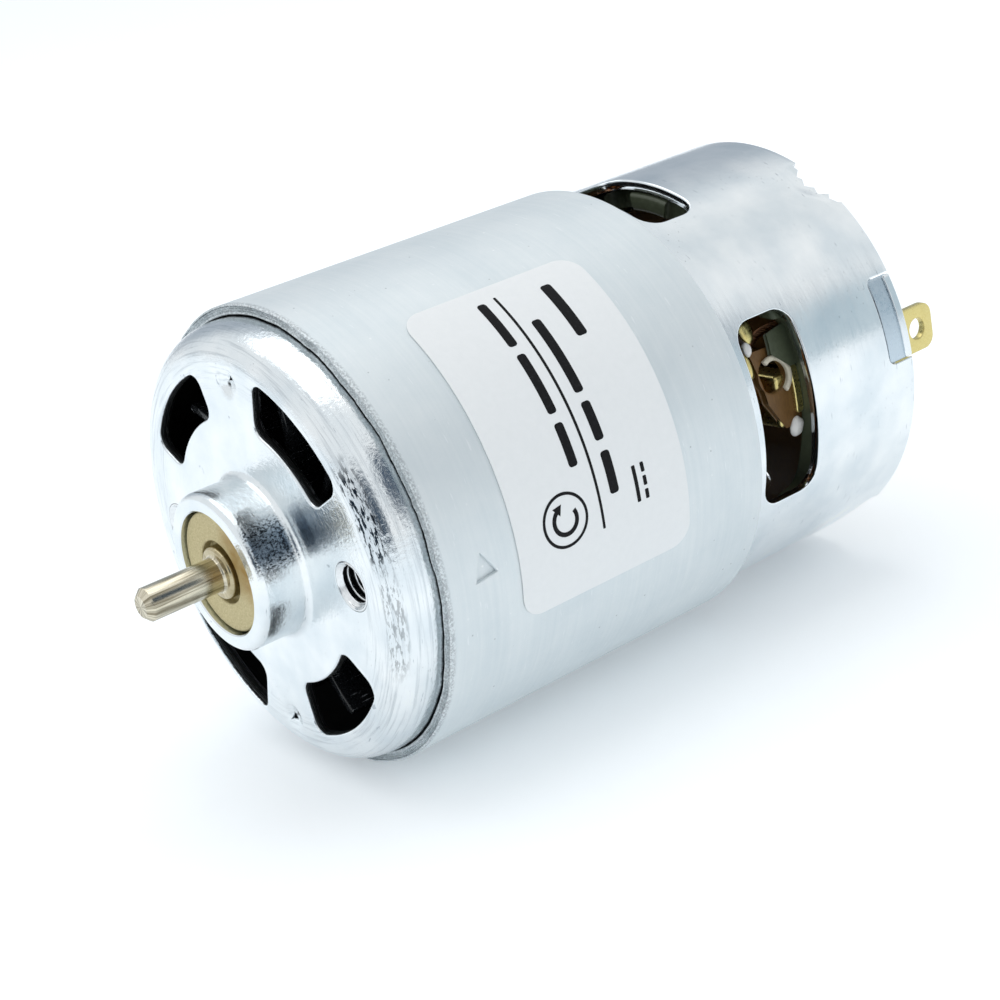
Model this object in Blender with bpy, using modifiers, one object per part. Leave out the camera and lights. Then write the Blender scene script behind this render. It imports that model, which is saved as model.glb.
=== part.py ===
"""Brushed DC motor: a drawn steel can on its side, shaft towards -Y, screw-hole line along X, +Z up.

The origin is the centre of the front mounting face. Every piece is drawn in a motor frame whose z runs
forward along the shaft (towards -Y in the world), x to the right and y up, and is parented to an empty
that turns that frame into the world. Lengths are in millimetres until MM scales them to metres.
"""
import bmesh
import bpy
import math
from mathutils import Matrix, Vector

MM = 0.001
FINE = 64            # facets round the can and everything concentric and large
MEDIUM = 32          # facets round the shaft and the bushes
GAP = 0.15           # clearance between pieces that are pressed or glued together
RUNNING = 0.05       # radial clearance of the shaft in its bushes

# can, a drawn steel cup: its z runs from the face (0) back to the rear rim
CAN_R = 21.0
CAN_WALL = 1.0
CAN_LENGTH = 63.6
SHOULDER_R = 4.1
BOSS_R = 7.5
BOSS_HEIGHT = 4.8
BOSS_BORE_R = 5.87
BOSS_EDGE_R = 0.7
BOSS_FOOT_R = 0.7
SCREW_HOLE_R = 1.65
SCREW_CIRCLE_R = 14.5
DIMPLE_R = 1.1
DIMPLE_CIRCLE_R = 16.2
VENT_CORNER_R = 1.3

# air vents in the face: (centre angle, span, inner radius, outer radius), angles from the screw-hole line
VENTS = {"upper_right": (51.0, 43.0, 12.8, 17.9), "upper_left": (127.3, 46.0, 13.0, 17.2),
         "lower_left": (-131.0, 42.0, 13.3, 18.7), "lower_right": (-58.0, 48.0, 12.5, 17.6)}

# air windows in the side wall: (centre angle, angular width, front, rear), each repeated opposite
WINDOWS = {"brush": (1.9, 51.0, 42.85, 49.9), "side": (79.9, 34.2, 42.7, 49.0)}
WINDOW_CORNER_R = 2.0
NOTCH_CENTRE = 12.8
NOTCH_SPAN = 24.0
NOTCH_DEPTH = 3.2

# flux ring and label
RING_FRONT = 4.2
RING_LENGTH = 36.9
RING_R = 22.1
RING_GAP = 0.25      # the dark crevice between the can and the ring
RING_SEAM_ANGLE = -135.0
RING_SEAM_WIDTH = 0.4
LABEL_FRONT = 12.1
LABEL_REAR = 31.65
LABEL_CENTRE = 21.2
LABEL_SPAN = 78.4
LABEL_CORNER_R = 2.2
LABEL_THICKNESS = 0.12
LABEL_LIFT = 0.03

# magnets
MAGNET_FRONT = 8.5
MAGNET_REAR = 40.5
MAGNET_R = CAN_R - CAN_WALL - GAP
MAGNET_BORE_R = 14.6
MAGNET_SPAN = 135.0
CLIP_THICKNESS = 0.6
CLIP_CLEARANCE = 0.35

# shaft and bushes
SHAFT_R = 2.5
TIP_R = 1.585
TIP_FRONT = 12.5
TIP_CHAMFER = 0.55
SHOULDER_FRONT = 4.75
SHAFT_REAR = 65.0
BUSH_R = 5.7
BUSH_FRONT = 4.3
BUSH_REAR = 1.8
BUSH_SINK_R = 3.0
BUSH_SINK_DEPTH = 0.9
REAR_BUSH_FRONT = 58.7
REAR_BUSH_REAR = 64.9

# armature
CORE_FRONT = 12.5
CORE_REAR = 37.5
CORE_R = 14.0
CORE_HUB_R = 5.4
POLES = 5
TOOTH_WIDTH = 4.0
SHOE_R = 12.0        # inner radius of a pole shoe
SLOT_MOUTH = 1.8
INSULATOR_THICKNESS = 0.8
INSULATOR_SHRINK = 0.25
COIL_CLEARANCE = 0.3
COIL_BORE_HALF = TOOTH_WIDTH / 2 + COIL_CLEARANCE

# fan
FAN_FRONT = 2.7
FAN_REAR = 6.9
FAN_PLATE = 0.9
FAN_PLATE_R = 12.0
FAN_HUB_R = 4.6
FAN_TIP_R = 16.8
FAN_BLADES = 12
FAN_BLADE = 0.9
FAN_SWEEP = 16.0     # degrees that a blade leans from hub to tip

# commutator
BARS = 5
BAR_R = 4.8
BAR_INNER_R = 3.5
BAR_FRONT = 45.9
BAR_REAR = 56.2
BAR_GAP = 0.5
HOOK_R = 6.9
HOOK_WIDTH = 1.6
HOOK_LENGTH = 0.9
HUB_R = 3.35
HUB_FRONT = 42.9
HUB_REAR = 57.2

# brush gear: both brushes lie on the X axis at this distance behind the face
BRUSH_Y = 51.6
BRUSH_AXIAL = 4.9
BRUSH_WIDE = 3.9
BRUSH_INNER = 5.05
BRUSH_OUTER = 11.4
BOX_WALL = 0.5
BOX_CLEARANCE = 0.2
BOX_INNER = 6.5
BOX_OUTER = 17.3
BOX_SLOT = (8.4, 15.6)
BOX_SLOT_WIDE = 1.9
SPRING_WIRE = 0.16
SPRING_R = 1.45
SPRING_TURNS = 5
PIGTAIL_R = 0.42
CARD_FRONT = 55.0
CARD_THICKNESS = 1.6
CARD_R = 17.5
CARD_BORE_R = 7.2
LINER_R = CAN_R - CAN_WALL - 0.3
LINER_WALL = 1.9
LINER_FRONT = 48.9
LINER_REAR = 60.2
TERMINAL_X = 14.5
TERMINAL_THICKNESS = 0.8
TERMINAL_WIDTH = 4.8
TERMINAL_TIP = 73.5
TERMINAL_HOLE_R = 1.1
TERMINAL_HOLE_Y = 71.2
FOOT_HEIGHT = 7.0
PIGTAIL_HOLE = (12.0, 5.2)   # x and y of the hole in the card
PIGTAIL_HOLE_R = 0.9

# end plate
PLATE_FRONT = 61.2
PLATE_THICKNESS = 1.2
PLATE_R = CAN_R - CAN_WALL - 0.2
CUP_R = 7.6
CUP_REAR = 66.7
CUP_WALL = 1.1
CUP_HOLE_R = 3.1
PLATE_VENT = (10.2, 15.6, 90.0, 66.0)    # inner and outer radius, centre angle, span
PLATE_LUG_R = CAN_R - 0.15
PLATE_LUG = (60.6, 63.5)                 # front and rear of the lug that fills a rim notch
TERMINAL_SLOT = (3.4, 7.0)

for old in list(bpy.data.objects):
    bpy.data.objects.remove(old, do_unlink=True)

parts = bpy.data.collections.new("electric_motor")
cutters = bpy.data.collections.new("cutters")
bpy.context.scene.collection.children.link(parts)
bpy.context.scene.collection.children.link(cutters)


def empty(name, collection=parts):
    """An axis empty whose local z points forward along the shaft."""
    holder = bpy.data.objects.new(name, None)
    holder.empty_display_size = 0.01
    holder.rotation_euler = (math.radians(90), 0, 0)
    collection.objects.link(holder)
    return holder


housing_axis = empty("housing_axis")
rotor_axis = empty("rotor_axis")


def material(name, colour, roughness, metallic):
    mat = bpy.data.materials.new(name)
    mat.use_nodes = True
    shader = mat.node_tree.nodes["Principled BSDF"]
    shader.inputs["Base Color"].default_value = (*colour, 1)
    shader.inputs["Roughness"].default_value = roughness
    shader.inputs["Metallic"].default_value = metallic
    return mat


ZINC = material("zinc_plate", (0.80, 0.83, 0.85), 0.28, 1.0)
RING_STEEL = material("ring_steel", (0.62, 0.67, 0.70), 0.45, 0.8)
PAPER = material("label_paper", (0.88, 0.90, 0.91), 0.6, 0.0)
FERRITE = material("ferrite", (0.05, 0.05, 0.055), 0.7, 0.0)
SPRING_STEEL = material("spring_steel", (0.45, 0.46, 0.48), 0.35, 1.0)
BRONZE = material("sintered_bronze", (0.62, 0.55, 0.33), 0.75, 0.6)
SHAFT_STEEL = material("shaft_steel", (0.74, 0.71, 0.62), 0.2, 1.0)
LAMINATION = material("lamination_steel", (0.30, 0.31, 0.33), 0.5, 0.9)
GREEN_PLASTIC = material("insulator_plastic", (0.07, 0.20, 0.12), 0.5, 0.0)
ENAMEL_COPPER = material("enamelled_copper", (0.55, 0.20, 0.07), 0.35, 0.8)
BAR_COPPER = material("commutator_copper", (0.72, 0.40, 0.24), 0.3, 1.0)
BAKELITE = material("bakelite", (0.12, 0.06, 0.03), 0.45, 0.0)
FAN_PLASTIC = material("fan_plastic", (0.02, 0.02, 0.022), 0.5, 0.0)
WASHER_PLASTIC = material("washer_nylon", (0.82, 0.81, 0.76), 0.5, 0.0)
CARBON = material("carbon", (0.03, 0.03, 0.032), 0.8, 0.0)
BRASS = material("brass", (0.72, 0.62, 0.28), 0.3, 1.0)
LAMINATE = material("brown_laminate", (0.25, 0.13, 0.04), 0.5, 0.0)
OLIVE_PLASTIC = material("olive_moulding", (0.09, 0.11, 0.07), 0.5, 0.0)
BRAID = material("copper_braid", (0.66, 0.33, 0.17), 0.5, 0.9)


def polar(radius, degrees):
    return radius * math.cos(math.radians(degrees)), radius * math.sin(math.radians(degrees))


def arc(cx, cy, radius, start, end, count):
    """count + 1 points from angle start to angle end, in degrees."""
    step = (end - start) / count
    return [(cx + polar(radius, start + step * i)[0], cy + polar(radius, start + step * i)[1])
            for i in range(count + 1)]


def add(name, mesh, mat, parent=housing_axis, collection=parts, turn=0.0):
    obj = bpy.data.objects.new(name, mesh)
    collection.objects.link(obj)
    if mat is not None:
        mesh.materials.clear()
        mesh.materials.append(mat)
    obj.parent = parent
    obj.rotation_euler = (0, 0, math.radians(turn))
    if collection is cutters:
        obj.hide_render = True
        obj.display_type = "WIRE"
    return obj


def smooth(obj, degrees=35):
    obj.data.shade_smooth()
    obj.data.set_sharp_from_angle(angle=math.radians(degrees))
    return obj


def turned(name, profile, facets, mat, parent=housing_axis, sweep=360.0, **where):
    """Revolve a profile of (radius, z) points about the motor's axis.

    The profile runs clockwise, down its outer side. It is closed, unless it starts and ends on the axis.
    """
    mesh = bpy.data.meshes.new(name)
    verts = [(r * MM, 0, z * MM) for r, z in profile]
    edges = [(i, i + 1) for i in range(len(verts) - 1)]
    if profile[0][0] > 0:
        edges.append((len(verts) - 1, 0))
    mesh.from_pydata(verts, edges, [])
    obj = add(name, mesh, mat, parent, **where)
    screw = obj.modifiers.new("turn", "SCREW")
    screw.axis = "Z"
    screw.angle = math.radians(sweep)
    screw.steps = screw.render_steps = facets
    screw.use_merge_vertices = True
    screw.merge_threshold = 0.000001
    screw.use_smooth_shade = True
    return obj


def ring(name, inner, outer, front, rear, facets, mat, parent=housing_axis, **where):
    """A plain tube between two radii; front and rear are distances behind the mounting face."""
    profile = [(inner, -front), (outer, -front), (outer, -rear), (inner, -rear)]
    return turned(name, profile, facets, mat, parent, **where)


def outline_mesh(name, loops, front, rear):
    """A flat outline with holes, as a filled 2D curve extruded between two distances behind the face."""
    curve = bpy.data.curves.new(name, "CURVE")
    curve.dimensions = "2D"
    curve.fill_mode = "BOTH"
    curve.extrude = (rear - front) / 2 * MM
    for loop in loops:
        spline = curve.splines.new("POLY")
        spline.points.add(len(loop) - 1)
        for point, (x, y) in zip(spline.points, loop):
            point.co = (x * MM, y * MM, 0, 1)
        spline.use_cyclic_u = True
    temporary = bpy.data.objects.new(name, curve)
    cutters.objects.link(temporary)
    graph = bpy.context.evaluated_depsgraph_get()
    mesh = bpy.data.meshes.new_from_object(temporary.evaluated_get(graph))
    bpy.data.objects.remove(temporary, do_unlink=True)
    work = bmesh.new()
    work.from_mesh(mesh)
    bmesh.ops.remove_doubles(work, verts=work.verts, dist=0.000001)
    bmesh.ops.recalc_face_normals(work, faces=work.faces)
    bmesh.ops.translate(work, verts=work.verts, vec=(0, 0, -(front + rear) / 2 * MM))
    work.to_mesh(mesh)
    work.free()
    mesh.name = name
    return mesh


def block_mesh(name, low, high, bevel=0.0):
    """A box between two corners in the motor frame, its edges broken by bevel."""
    work = bmesh.new()
    bmesh.ops.create_cube(work, size=1.0)
    size = [(h - l) * MM for l, h in zip(low, high)]
    middle = Vector([(h + l) / 2 * MM for l, h in zip(low, high)])
    bmesh.ops.scale(work, verts=work.verts, vec=size)
    bmesh.ops.translate(work, verts=work.verts, vec=middle)
    if bevel:
        bmesh.ops.bevel(work, geom=work.edges[:], offset=bevel * MM, segments=1, affect="EDGES")
    mesh = bpy.data.meshes.new(name)
    work.to_mesh(mesh)
    work.free()
    return mesh


def block(name, low, high, mat, parent=housing_axis, bevel=0.0, **where):
    return add(name, block_mesh(name, low, high, bevel), mat, parent, **where)


def boolean(obj, tool, operation="DIFFERENCE"):
    modifier = obj.modifiers.new(tool.name, "BOOLEAN")
    modifier.operation = operation
    modifier.object = tool
    modifier.solver = "EXACT"


def cutter(name, mesh, turn=0.0, parent=housing_axis):
    return add(name, mesh, None, parent, cutters, turn)


def circle(radius, facets, cx=0.0, cy=0.0):
    return arc(cx, cy, radius, 0, 360, facets)[:-1]


def rounded_sector(inner, outer, centre, span, corner, facet=7.5):
    """An annular sector with rounded corners, counter-clockwise."""
    start, end = centre - span / 2, centre + span / 2
    lean_out = math.degrees(math.asin(corner / (outer - corner)))
    lean_in = math.degrees(math.asin(corner / (inner + corner)))
    count = max(3, round(span / facet))
    far, near = outer - corner, inner + corner
    points = arc(0, 0, outer, start + lean_out, end - lean_out, count)
    points += arc(*polar(far, end - lean_out), corner, end - lean_out, end + 90, 3)[1:]
    points += arc(*polar(near, end - lean_in), corner, end + 90, end - lean_in + 180, 3)
    points += arc(0, 0, inner, end - lean_in, start + lean_in, count)[1:-1]
    points += arc(*polar(near, start + lean_in), corner, start + lean_in + 180, start + 270, 3)
    points += arc(*polar(far, start + lean_out), corner, start - 90, start + lean_out, 3)[:-1]
    return points


def rounded_rectangle(width, height, corner, cx=0.0, cy=0.0, steps=4):
    points = []
    for sx, sy, start in ((1, 1, 0), (-1, 1, 90), (-1, -1, 180), (1, -1, 270)):
        x = cx + sx * (width / 2 - corner)
        y = cy + sy * (height / 2 - corner)
        points += arc(x, y, corner, start, start + 90, steps)
    return points


def ring_loft(name, loops):
    """A closed ring-shaped body skinned over equal loops of points, the last joined to the first."""
    work = bmesh.new()
    rows = [[work.verts.new([value * MM for value in point]) for point in loop] for loop in loops]
    count = len(rows[0])
    for this, following in zip(rows, rows[1:] + rows[:1]):
        for i in range(count):
            j = (i + 1) % count
            work.faces.new((this[i], this[j], following[j], following[i]))
    bmesh.ops.recalc_face_normals(work, faces=work.faces)
    mesh = bpy.data.meshes.new(name)
    work.to_mesh(mesh)
    work.free()
    return mesh


def wire(name, points, radius, mat, parent=housing_axis, turn=0.0):
    """A round wire through points in the motor frame, made a mesh with its caps welded on."""
    curve = bpy.data.curves.new(name, "CURVE")
    curve.dimensions = "3D"
    curve.bevel_depth = radius * MM
    curve.bevel_resolution = 1
    curve.use_fill_caps = True
    spline = curve.splines.new("POLY")
    spline.points.add(len(points) - 1)
    for point, position in zip(spline.points, points):
        point.co = (*[value * MM for value in position], 1)
    obj = add(name, curve, None, parent, turn=turn)
    curve.materials.append(mat)
    return obj


def radial_prism(name, width, height, corner, middle, inner, outer):
    """A rounded rectangle facing the axis at angle 0, its height centred on a distance behind the face."""
    mesh = outline_mesh(name, [rounded_rectangle(width, height, corner)], -outer, -inner)
    mesh.transform(Matrix(((0, 0, 1, 0), (1, 0, 0, 0), (0, 1, 0, -middle * MM), (0, 0, 0, 1))))
    return mesh


def chord(radius, span):
    return 2 * radius * math.sin(math.radians(span / 2))


# ---------------------------------------------------------------- can

def build_can():
    shoulder = CAN_R - SHOULDER_R
    inside = CAN_R - CAN_WALL
    lip, foot = BOSS_R - BOSS_EDGE_R, BOSS_R + BOSS_FOOT_R
    profile = [(BOSS_BORE_R, BOSS_HEIGHT)]
    profile += arc(lip, BOSS_HEIGHT - BOSS_EDGE_R, BOSS_EDGE_R, 90, 0, 3)
    profile += arc(foot, BOSS_FOOT_R, BOSS_FOOT_R, 180, 270, 3)
    profile += arc(shoulder, -SHOULDER_R, SHOULDER_R, 90, 0, 7)
    profile += [(CAN_R, -CAN_LENGTH), (inside, -CAN_LENGTH)]
    profile += arc(shoulder, -SHOULDER_R, SHOULDER_R - CAN_WALL, 0, 90, 5)
    profile += [(BOSS_BORE_R, -CAN_WALL)]
    can = turned("motor_can", profile, FINE, ZINC)
    for place, (centre, span, inner, outer) in VENTS.items():
        shape = rounded_sector(inner, outer, centre, span, VENT_CORNER_R)
        boolean(can, cutter("vent_" + place, outline_mesh("vent_" + place, [shape], -2, SHOULDER_R)))
    for side in (0, 180):
        name = "right" if side == 0 else "left"
        drill = outline_mesh("screw_drill_" + name, [circle(SCREW_HOLE_R, 16, SCREW_CIRCLE_R)], -1, 3)
        boolean(can, cutter("screw_drill_" + name, drill, side))
        punch = outline_mesh("dimple_punch_" + name, [circle(DIMPLE_R, 12, DIMPLE_CIRCLE_R)], -1, 0.35)
        boolean(can, cutter("dimple_punch_" + name, punch, side + 90))
        for kind, (centre, span, front, rear) in WINDOWS.items():
            window_name = "window_%s_%s" % (kind, name)
            mesh = radial_prism(window_name, chord(CAN_R, span), rear - front, WINDOW_CORNER_R,
                                (front + rear) / 2, CAN_R - 6, CAN_R + 3)
            boolean(can, cutter(window_name, mesh, centre + side))
        half = chord(CAN_R, NOTCH_SPAN) / 2
        notch = block_mesh("rim_notch_" + name, (CAN_R - 3, -half, -CAN_LENGTH - 2),
                           (CAN_R + 2, half, -CAN_LENGTH + NOTCH_DEPTH))
        boolean(can, cutter("rim_notch_" + name, notch, NOTCH_CENTRE + side))
    return can


def build_flux_ring():
    rear = RING_FRONT + RING_LENGTH
    sleeve = ring("flux_ring", CAN_R + RING_GAP, RING_R, RING_FRONT, rear, FINE, RING_STEEL)
    slit = block_mesh("ring_seam", (CAN_R - 1, -RING_SEAM_WIDTH / 2, -rear - 1),
                      (RING_R + 1, RING_SEAM_WIDTH / 2, -RING_FRONT + 1))
    boolean(sleeve, cutter("ring_seam", slit, RING_SEAM_ANGLE))


def build_label():
    inner = RING_R + LABEL_LIFT
    label = ring("ring_label", inner, inner + LABEL_THICKNESS, LABEL_FRONT - 1, LABEL_REAR + 1,
                 FINE, PAPER)
    shape = radial_prism("label_outline", chord(RING_R, LABEL_SPAN), LABEL_REAR - LABEL_FRONT,
                         LABEL_CORNER_R, (LABEL_FRONT + LABEL_REAR) / 2, RING_R - 6, RING_R + 3)
    boolean(label, cutter("label_outline", shape, LABEL_CENTRE), "INTERSECT")


# ---------------------------------------------------------------- magnets

def build_magnets():
    for name, centre in (("upper", 90), ("lower", -90)):
        shape = rounded_sector(MAGNET_BORE_R, MAGNET_R, centre, MAGNET_SPAN, 0.7)
        add("magnet_" + name, outline_mesh("magnet_" + name, [shape], MAGNET_FRONT, MAGNET_REAR), FERRITE)
    half = 90 - MAGNET_SPAN / 2 - math.degrees(CLIP_CLEARANCE / MAGNET_BORE_R)
    wall = math.degrees(CLIP_THICKNESS / MAGNET_R)
    leg = MAGNET_R - 3.6
    for name, turn in (("right", 0), ("left", 180)):
        shape = arc(0, 0, MAGNET_R, -half, half, 6)
        shape += [polar(leg, half), polar(leg, half - wall)]
        shape += arc(0, 0, MAGNET_R - CLIP_THICKNESS, half - wall, wall - half, 6)
        shape += [polar(leg, wall - half), polar(leg, -half)]
        mesh = outline_mesh("magnet_clip_" + name, [shape], MAGNET_FRONT + 4, MAGNET_REAR - 4)
        add("magnet_clip_" + name, mesh, SPRING_STEEL, turn=turn)


# ---------------------------------------------------------------- bushes and shaft

def build_bushes():
    bore = SHAFT_R + RUNNING
    profile = [(bore, BUSH_FRONT - BUSH_SINK_DEPTH), (BUSH_SINK_R - 0.15, BUSH_FRONT - BUSH_SINK_DEPTH),
               (BUSH_SINK_R, BUSH_FRONT), (BUSH_R - 0.2, BUSH_FRONT), (BUSH_R, BUSH_FRONT - 0.2),
               (BUSH_R, -BUSH_REAR), (bore, -BUSH_REAR)]
    turned("front_bush", profile, MEDIUM, BRONZE)
    profile = [(bore, -REAR_BUSH_FRONT), (BUSH_R - 0.2, -REAR_BUSH_FRONT),
               (BUSH_R, -REAR_BUSH_FRONT - 0.2), (BUSH_R, -REAR_BUSH_REAR), (bore, -REAR_BUSH_REAR)]
    turned("rear_bush", profile, MEDIUM, BRONZE)


def build_shaft():
    collar = 0.35
    profile = [(0, TIP_FRONT), (TIP_R - TIP_CHAMFER, TIP_FRONT), (TIP_R, TIP_FRONT - TIP_CHAMFER),
               (TIP_R, SHOULDER_FRONT + collar)]
    profile += arc(TIP_R + collar, SHOULDER_FRONT + collar, collar, 180, 270, 2)[1:]
    profile += arc(SHAFT_R - collar, SHOULDER_FRONT - collar, collar, 90, 0, 2)
    profile += [(SHAFT_R, -SHAFT_REAR + 0.3), (SHAFT_R - 0.3, -SHAFT_REAR), (0, -SHAFT_REAR)]
    turned("shaft", profile, MEDIUM, SHAFT_STEEL, rotor_axis)


# ---------------------------------------------------------------- armature

def core_outline(outer):
    """The five-pole lamination: hub, straight teeth and arched shoes."""
    half_tooth = TOOTH_WIDTH / 2
    at_hub = math.degrees(math.asin(half_tooth / CORE_HUB_R))
    at_shoe = math.degrees(math.asin(half_tooth / SHOE_R))
    tip = 180 / POLES - math.degrees(SLOT_MOUTH / 2 / CORE_R)
    tip_r = (SHOE_R + CORE_R) / 2
    points = []
    for pole in range(POLES):
        middle = 360 / POLES * pole
        points += [polar(CORE_HUB_R, middle - 180 / POLES), polar(CORE_HUB_R, middle - at_hub)]
        points += [polar(SHOE_R, middle - at_shoe), polar(SHOE_R, middle - (tip + at_shoe) / 2)]
        points += [polar(tip_r, middle - tip)]
        points += arc(0, 0, outer, middle - tip, middle + tip, 7)
        points += [polar(tip_r, middle + tip)]
        points += [polar(SHOE_R, middle + (tip + at_shoe) / 2), polar(SHOE_R, middle + at_shoe)]
        points += [polar(CORE_HUB_R, middle + at_hub)]
    return points


def build_core():
    hole = circle(SHAFT_R + GAP, 24)
    mesh = outline_mesh("armature_core", [core_outline(CORE_R), hole], CORE_FRONT, CORE_REAR)
    add("armature_core", mesh, LAMINATION, rotor_axis)
    gap = 0.1
    for name, front in (("front", CORE_FRONT - gap - INSULATOR_THICKNESS), ("rear", CORE_REAR + gap)):
        name = "insulator_" + name
        mesh = outline_mesh(name, [core_outline(CORE_R - INSULATOR_SHRINK), hole], front,
                            front + INSULATOR_THICKNESS)
        add(name, mesh, GREEN_PLASTIC, rotor_axis)


def coil_loop(reach, half_width, half_length, corner):
    shape = rounded_rectangle(2 * half_width, 2 * half_length, corner, steps=2)
    middle = (CORE_FRONT + CORE_REAR) / 2
    return [(reach, x, y - middle) for x, y in shape]


def build_coils():
    bore = (CORE_REAR - CORE_FRONT) / 2 + INSULATOR_THICKNESS + COIL_CLEARANCE
    foot, waist, crown = 6.5, 9.5, 11.1
    loops = [coil_loop(foot, COIL_BORE_HALF, bore, 0.8),
             coil_loop(foot, COIL_BORE_HALF + 1.8, bore + 2.2, 1.6),
             coil_loop(waist, COIL_BORE_HALF + 3.7, bore + 3.6, 2.4),
             coil_loop(crown, COIL_BORE_HALF + 0.6, bore + 1.2, 1.2),
             coil_loop(crown, COIL_BORE_HALF, bore, 0.8)]
    for pole in range(POLES):
        name = "coil_%d" % (pole + 1)
        add(name, ring_loft(name, loops), ENAMEL_COPPER, rotor_axis, turn=360 / POLES * pole)


def build_commutator():
    ring("commutator_hub", SHAFT_R + 0.1, HUB_R, HUB_FRONT, HUB_REAR, MEDIUM, BAKELITE, rotor_axis)
    span = 360 / BARS - math.degrees(BAR_GAP / BAR_R)
    for bar in range(BARS):
        name = "commutator_bar_%d" % (bar + 1)
        turn = 360 / BARS * (bar + 0.5)
        shape = rounded_sector(BAR_INNER_R, BAR_R, 0, span, 0.12)
        copper = add(name, outline_mesh(name, [shape], BAR_FRONT, BAR_REAR), BAR_COPPER, rotor_axis,
                     turn=turn)
        hook = block_mesh(name + "_hook", (BAR_INNER_R + 0.4, -HOOK_WIDTH / 2, -BAR_FRONT - 0.6),
                          (HOOK_R, HOOK_WIDTH / 2, -BAR_FRONT + HOOK_LENGTH), 0.15)
        boolean(copper, cutter(name + "_hook", hook, turn, rotor_axis), "UNION")


def build_fan():
    points = []
    pitch = 360 / FAN_BLADES
    at_hub = math.degrees(FAN_BLADE / 2 / FAN_HUB_R)
    at_tip = math.degrees(FAN_BLADE / 2 / FAN_TIP_R)
    middle_r = (FAN_HUB_R + FAN_TIP_R) / 2
    at_middle = math.degrees(FAN_BLADE / 2 / middle_r)
    for blade in range(FAN_BLADES):
        root = pitch * blade
        bend = root + FAN_SWEEP * 0.35
        tip = root + FAN_SWEEP
        points += [polar(FAN_HUB_R, root - pitch / 2), polar(FAN_HUB_R, root - at_hub)]
        points += [polar(middle_r, bend - at_middle), polar(FAN_TIP_R, tip - at_tip)]
        points += [polar(FAN_TIP_R, tip + at_tip), polar(middle_r, bend + at_middle)]
        points += [polar(FAN_HUB_R, root + at_hub)]
    hole = circle(SHAFT_R + GAP, 24)
    blades = outline_mesh("cooling_fan", [points, hole], FAN_FRONT, FAN_REAR - FAN_PLATE / 2)
    fan = add("cooling_fan", blades, FAN_PLASTIC, rotor_axis)
    web = outline_mesh("fan_web", [circle(FAN_PLATE_R, MEDIUM), circle(FAN_HUB_R - 0.8, 24)],
                       FAN_REAR - FAN_PLATE, FAN_REAR)
    boolean(fan, cutter("fan_web", web, parent=rotor_axis), "UNION")


def build_washers():
    for name, front, rear in (("front", BUSH_REAR + 0.2, FAN_FRONT - 0.2),
                              ("rear", HUB_REAR + 0.2, REAR_BUSH_FRONT - 0.2)):
        ring("thrust_washer_" + name, SHAFT_R + 0.1, SHAFT_R + 2.1, front, rear, 24,
             WASHER_PLASTIC, rotor_axis)


# ---------------------------------------------------------------- brush gear

def build_brush(name, side):
    half_y, half_z = BRUSH_WIDE / 2, BRUSH_AXIAL / 2
    slider = bpy.data.objects.new("brush_slide_" + name, None)
    slider.parent = housing_axis
    slider.location = (0, 0, -BRUSH_Y * MM)
    slider.rotation_euler = (0, 0, math.radians(side))
    parts.objects.link(slider)
    face = block_mesh("carbon_brush_" + name, (BAR_R - 0.4, -half_y, -half_z),
                      (BRUSH_OUTER, half_y, half_z), 0.2)
    brush = add("carbon_brush_" + name, face, CARBON, slider)
    arch = outline_mesh("brush_arch_" + name, [circle(BAR_R + 0.2, MEDIUM)], -half_z - 1, half_z + 1)
    boolean(brush, cutter("brush_arch_" + name, arch, parent=slider))

    grow = BOX_CLEARANCE + BOX_WALL
    box = block("brush_box_" + name, (BOX_INNER, -half_y - grow, -BRUSH_Y - half_z - grow),
                (BOX_OUTER, half_y + grow, -BRUSH_Y + half_z + grow), BRASS, bevel=0.2, turn=side)
    bore = block_mesh("brush_bore_" + name,
                      (BOX_INNER - 1, -half_y - BOX_CLEARANCE, -BRUSH_Y - half_z - BOX_CLEARANCE),
                      (BOX_OUTER - BOX_WALL, half_y + BOX_CLEARANCE, -BRUSH_Y + half_z + BOX_CLEARANCE))
    boolean(box, cutter("brush_bore_" + name, bore, side))
    slot = block_mesh("brush_slot_" + name, (BOX_SLOT[0], half_y, -BRUSH_Y - BOX_SLOT_WIDE / 2),
                      (BOX_SLOT[1], half_y + 2 * grow, -BRUSH_Y + BOX_SLOT_WIDE / 2))
    boolean(box, cutter("brush_slot_" + name, slot, side))


def build_spring(name, side):
    start, end = BRUSH_OUTER + SPRING_WIRE + 0.1, BOX_OUTER - BOX_WALL - SPRING_WIRE - 0.1
    per_turn = 10
    count = SPRING_TURNS * per_turn
    points = []
    for i in range(count + 1):
        y, z = polar(SPRING_R, 360 / per_turn * i)
        points.append((start + (end - start) * i / count, y, z - BRUSH_Y))
    wire("brush_spring_" + name, points, SPRING_WIRE, SPRING_STEEL, turn=side)


def build_pigtail(name, side):
    start = Vector((BRUSH_OUTER - 1.0, BRUSH_WIDE / 2 + 0.1, -BRUSH_Y))
    out = Vector((BRUSH_OUTER - 1.0, PIGTAIL_HOLE[1] + 0.2, -BRUSH_Y))
    back = Vector((PIGTAIL_HOLE[0], PIGTAIL_HOLE[1] + 0.4, -CARD_FRONT + 1.6))
    end = Vector((PIGTAIL_HOLE[0], PIGTAIL_HOLE[1], -CARD_FRONT - CARD_THICKNESS - 0.1))
    points = []
    steps = 14
    for i in range(steps + 1):
        t = i / steps
        u = 1 - t
        points.append(start * u ** 3 + out * 3 * u * u * t + back * 3 * u * t * t + end * t ** 3)
    wire("brush_pigtail_" + name, [tuple(point) for point in points], PIGTAIL_R, BRAID, turn=side)


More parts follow.
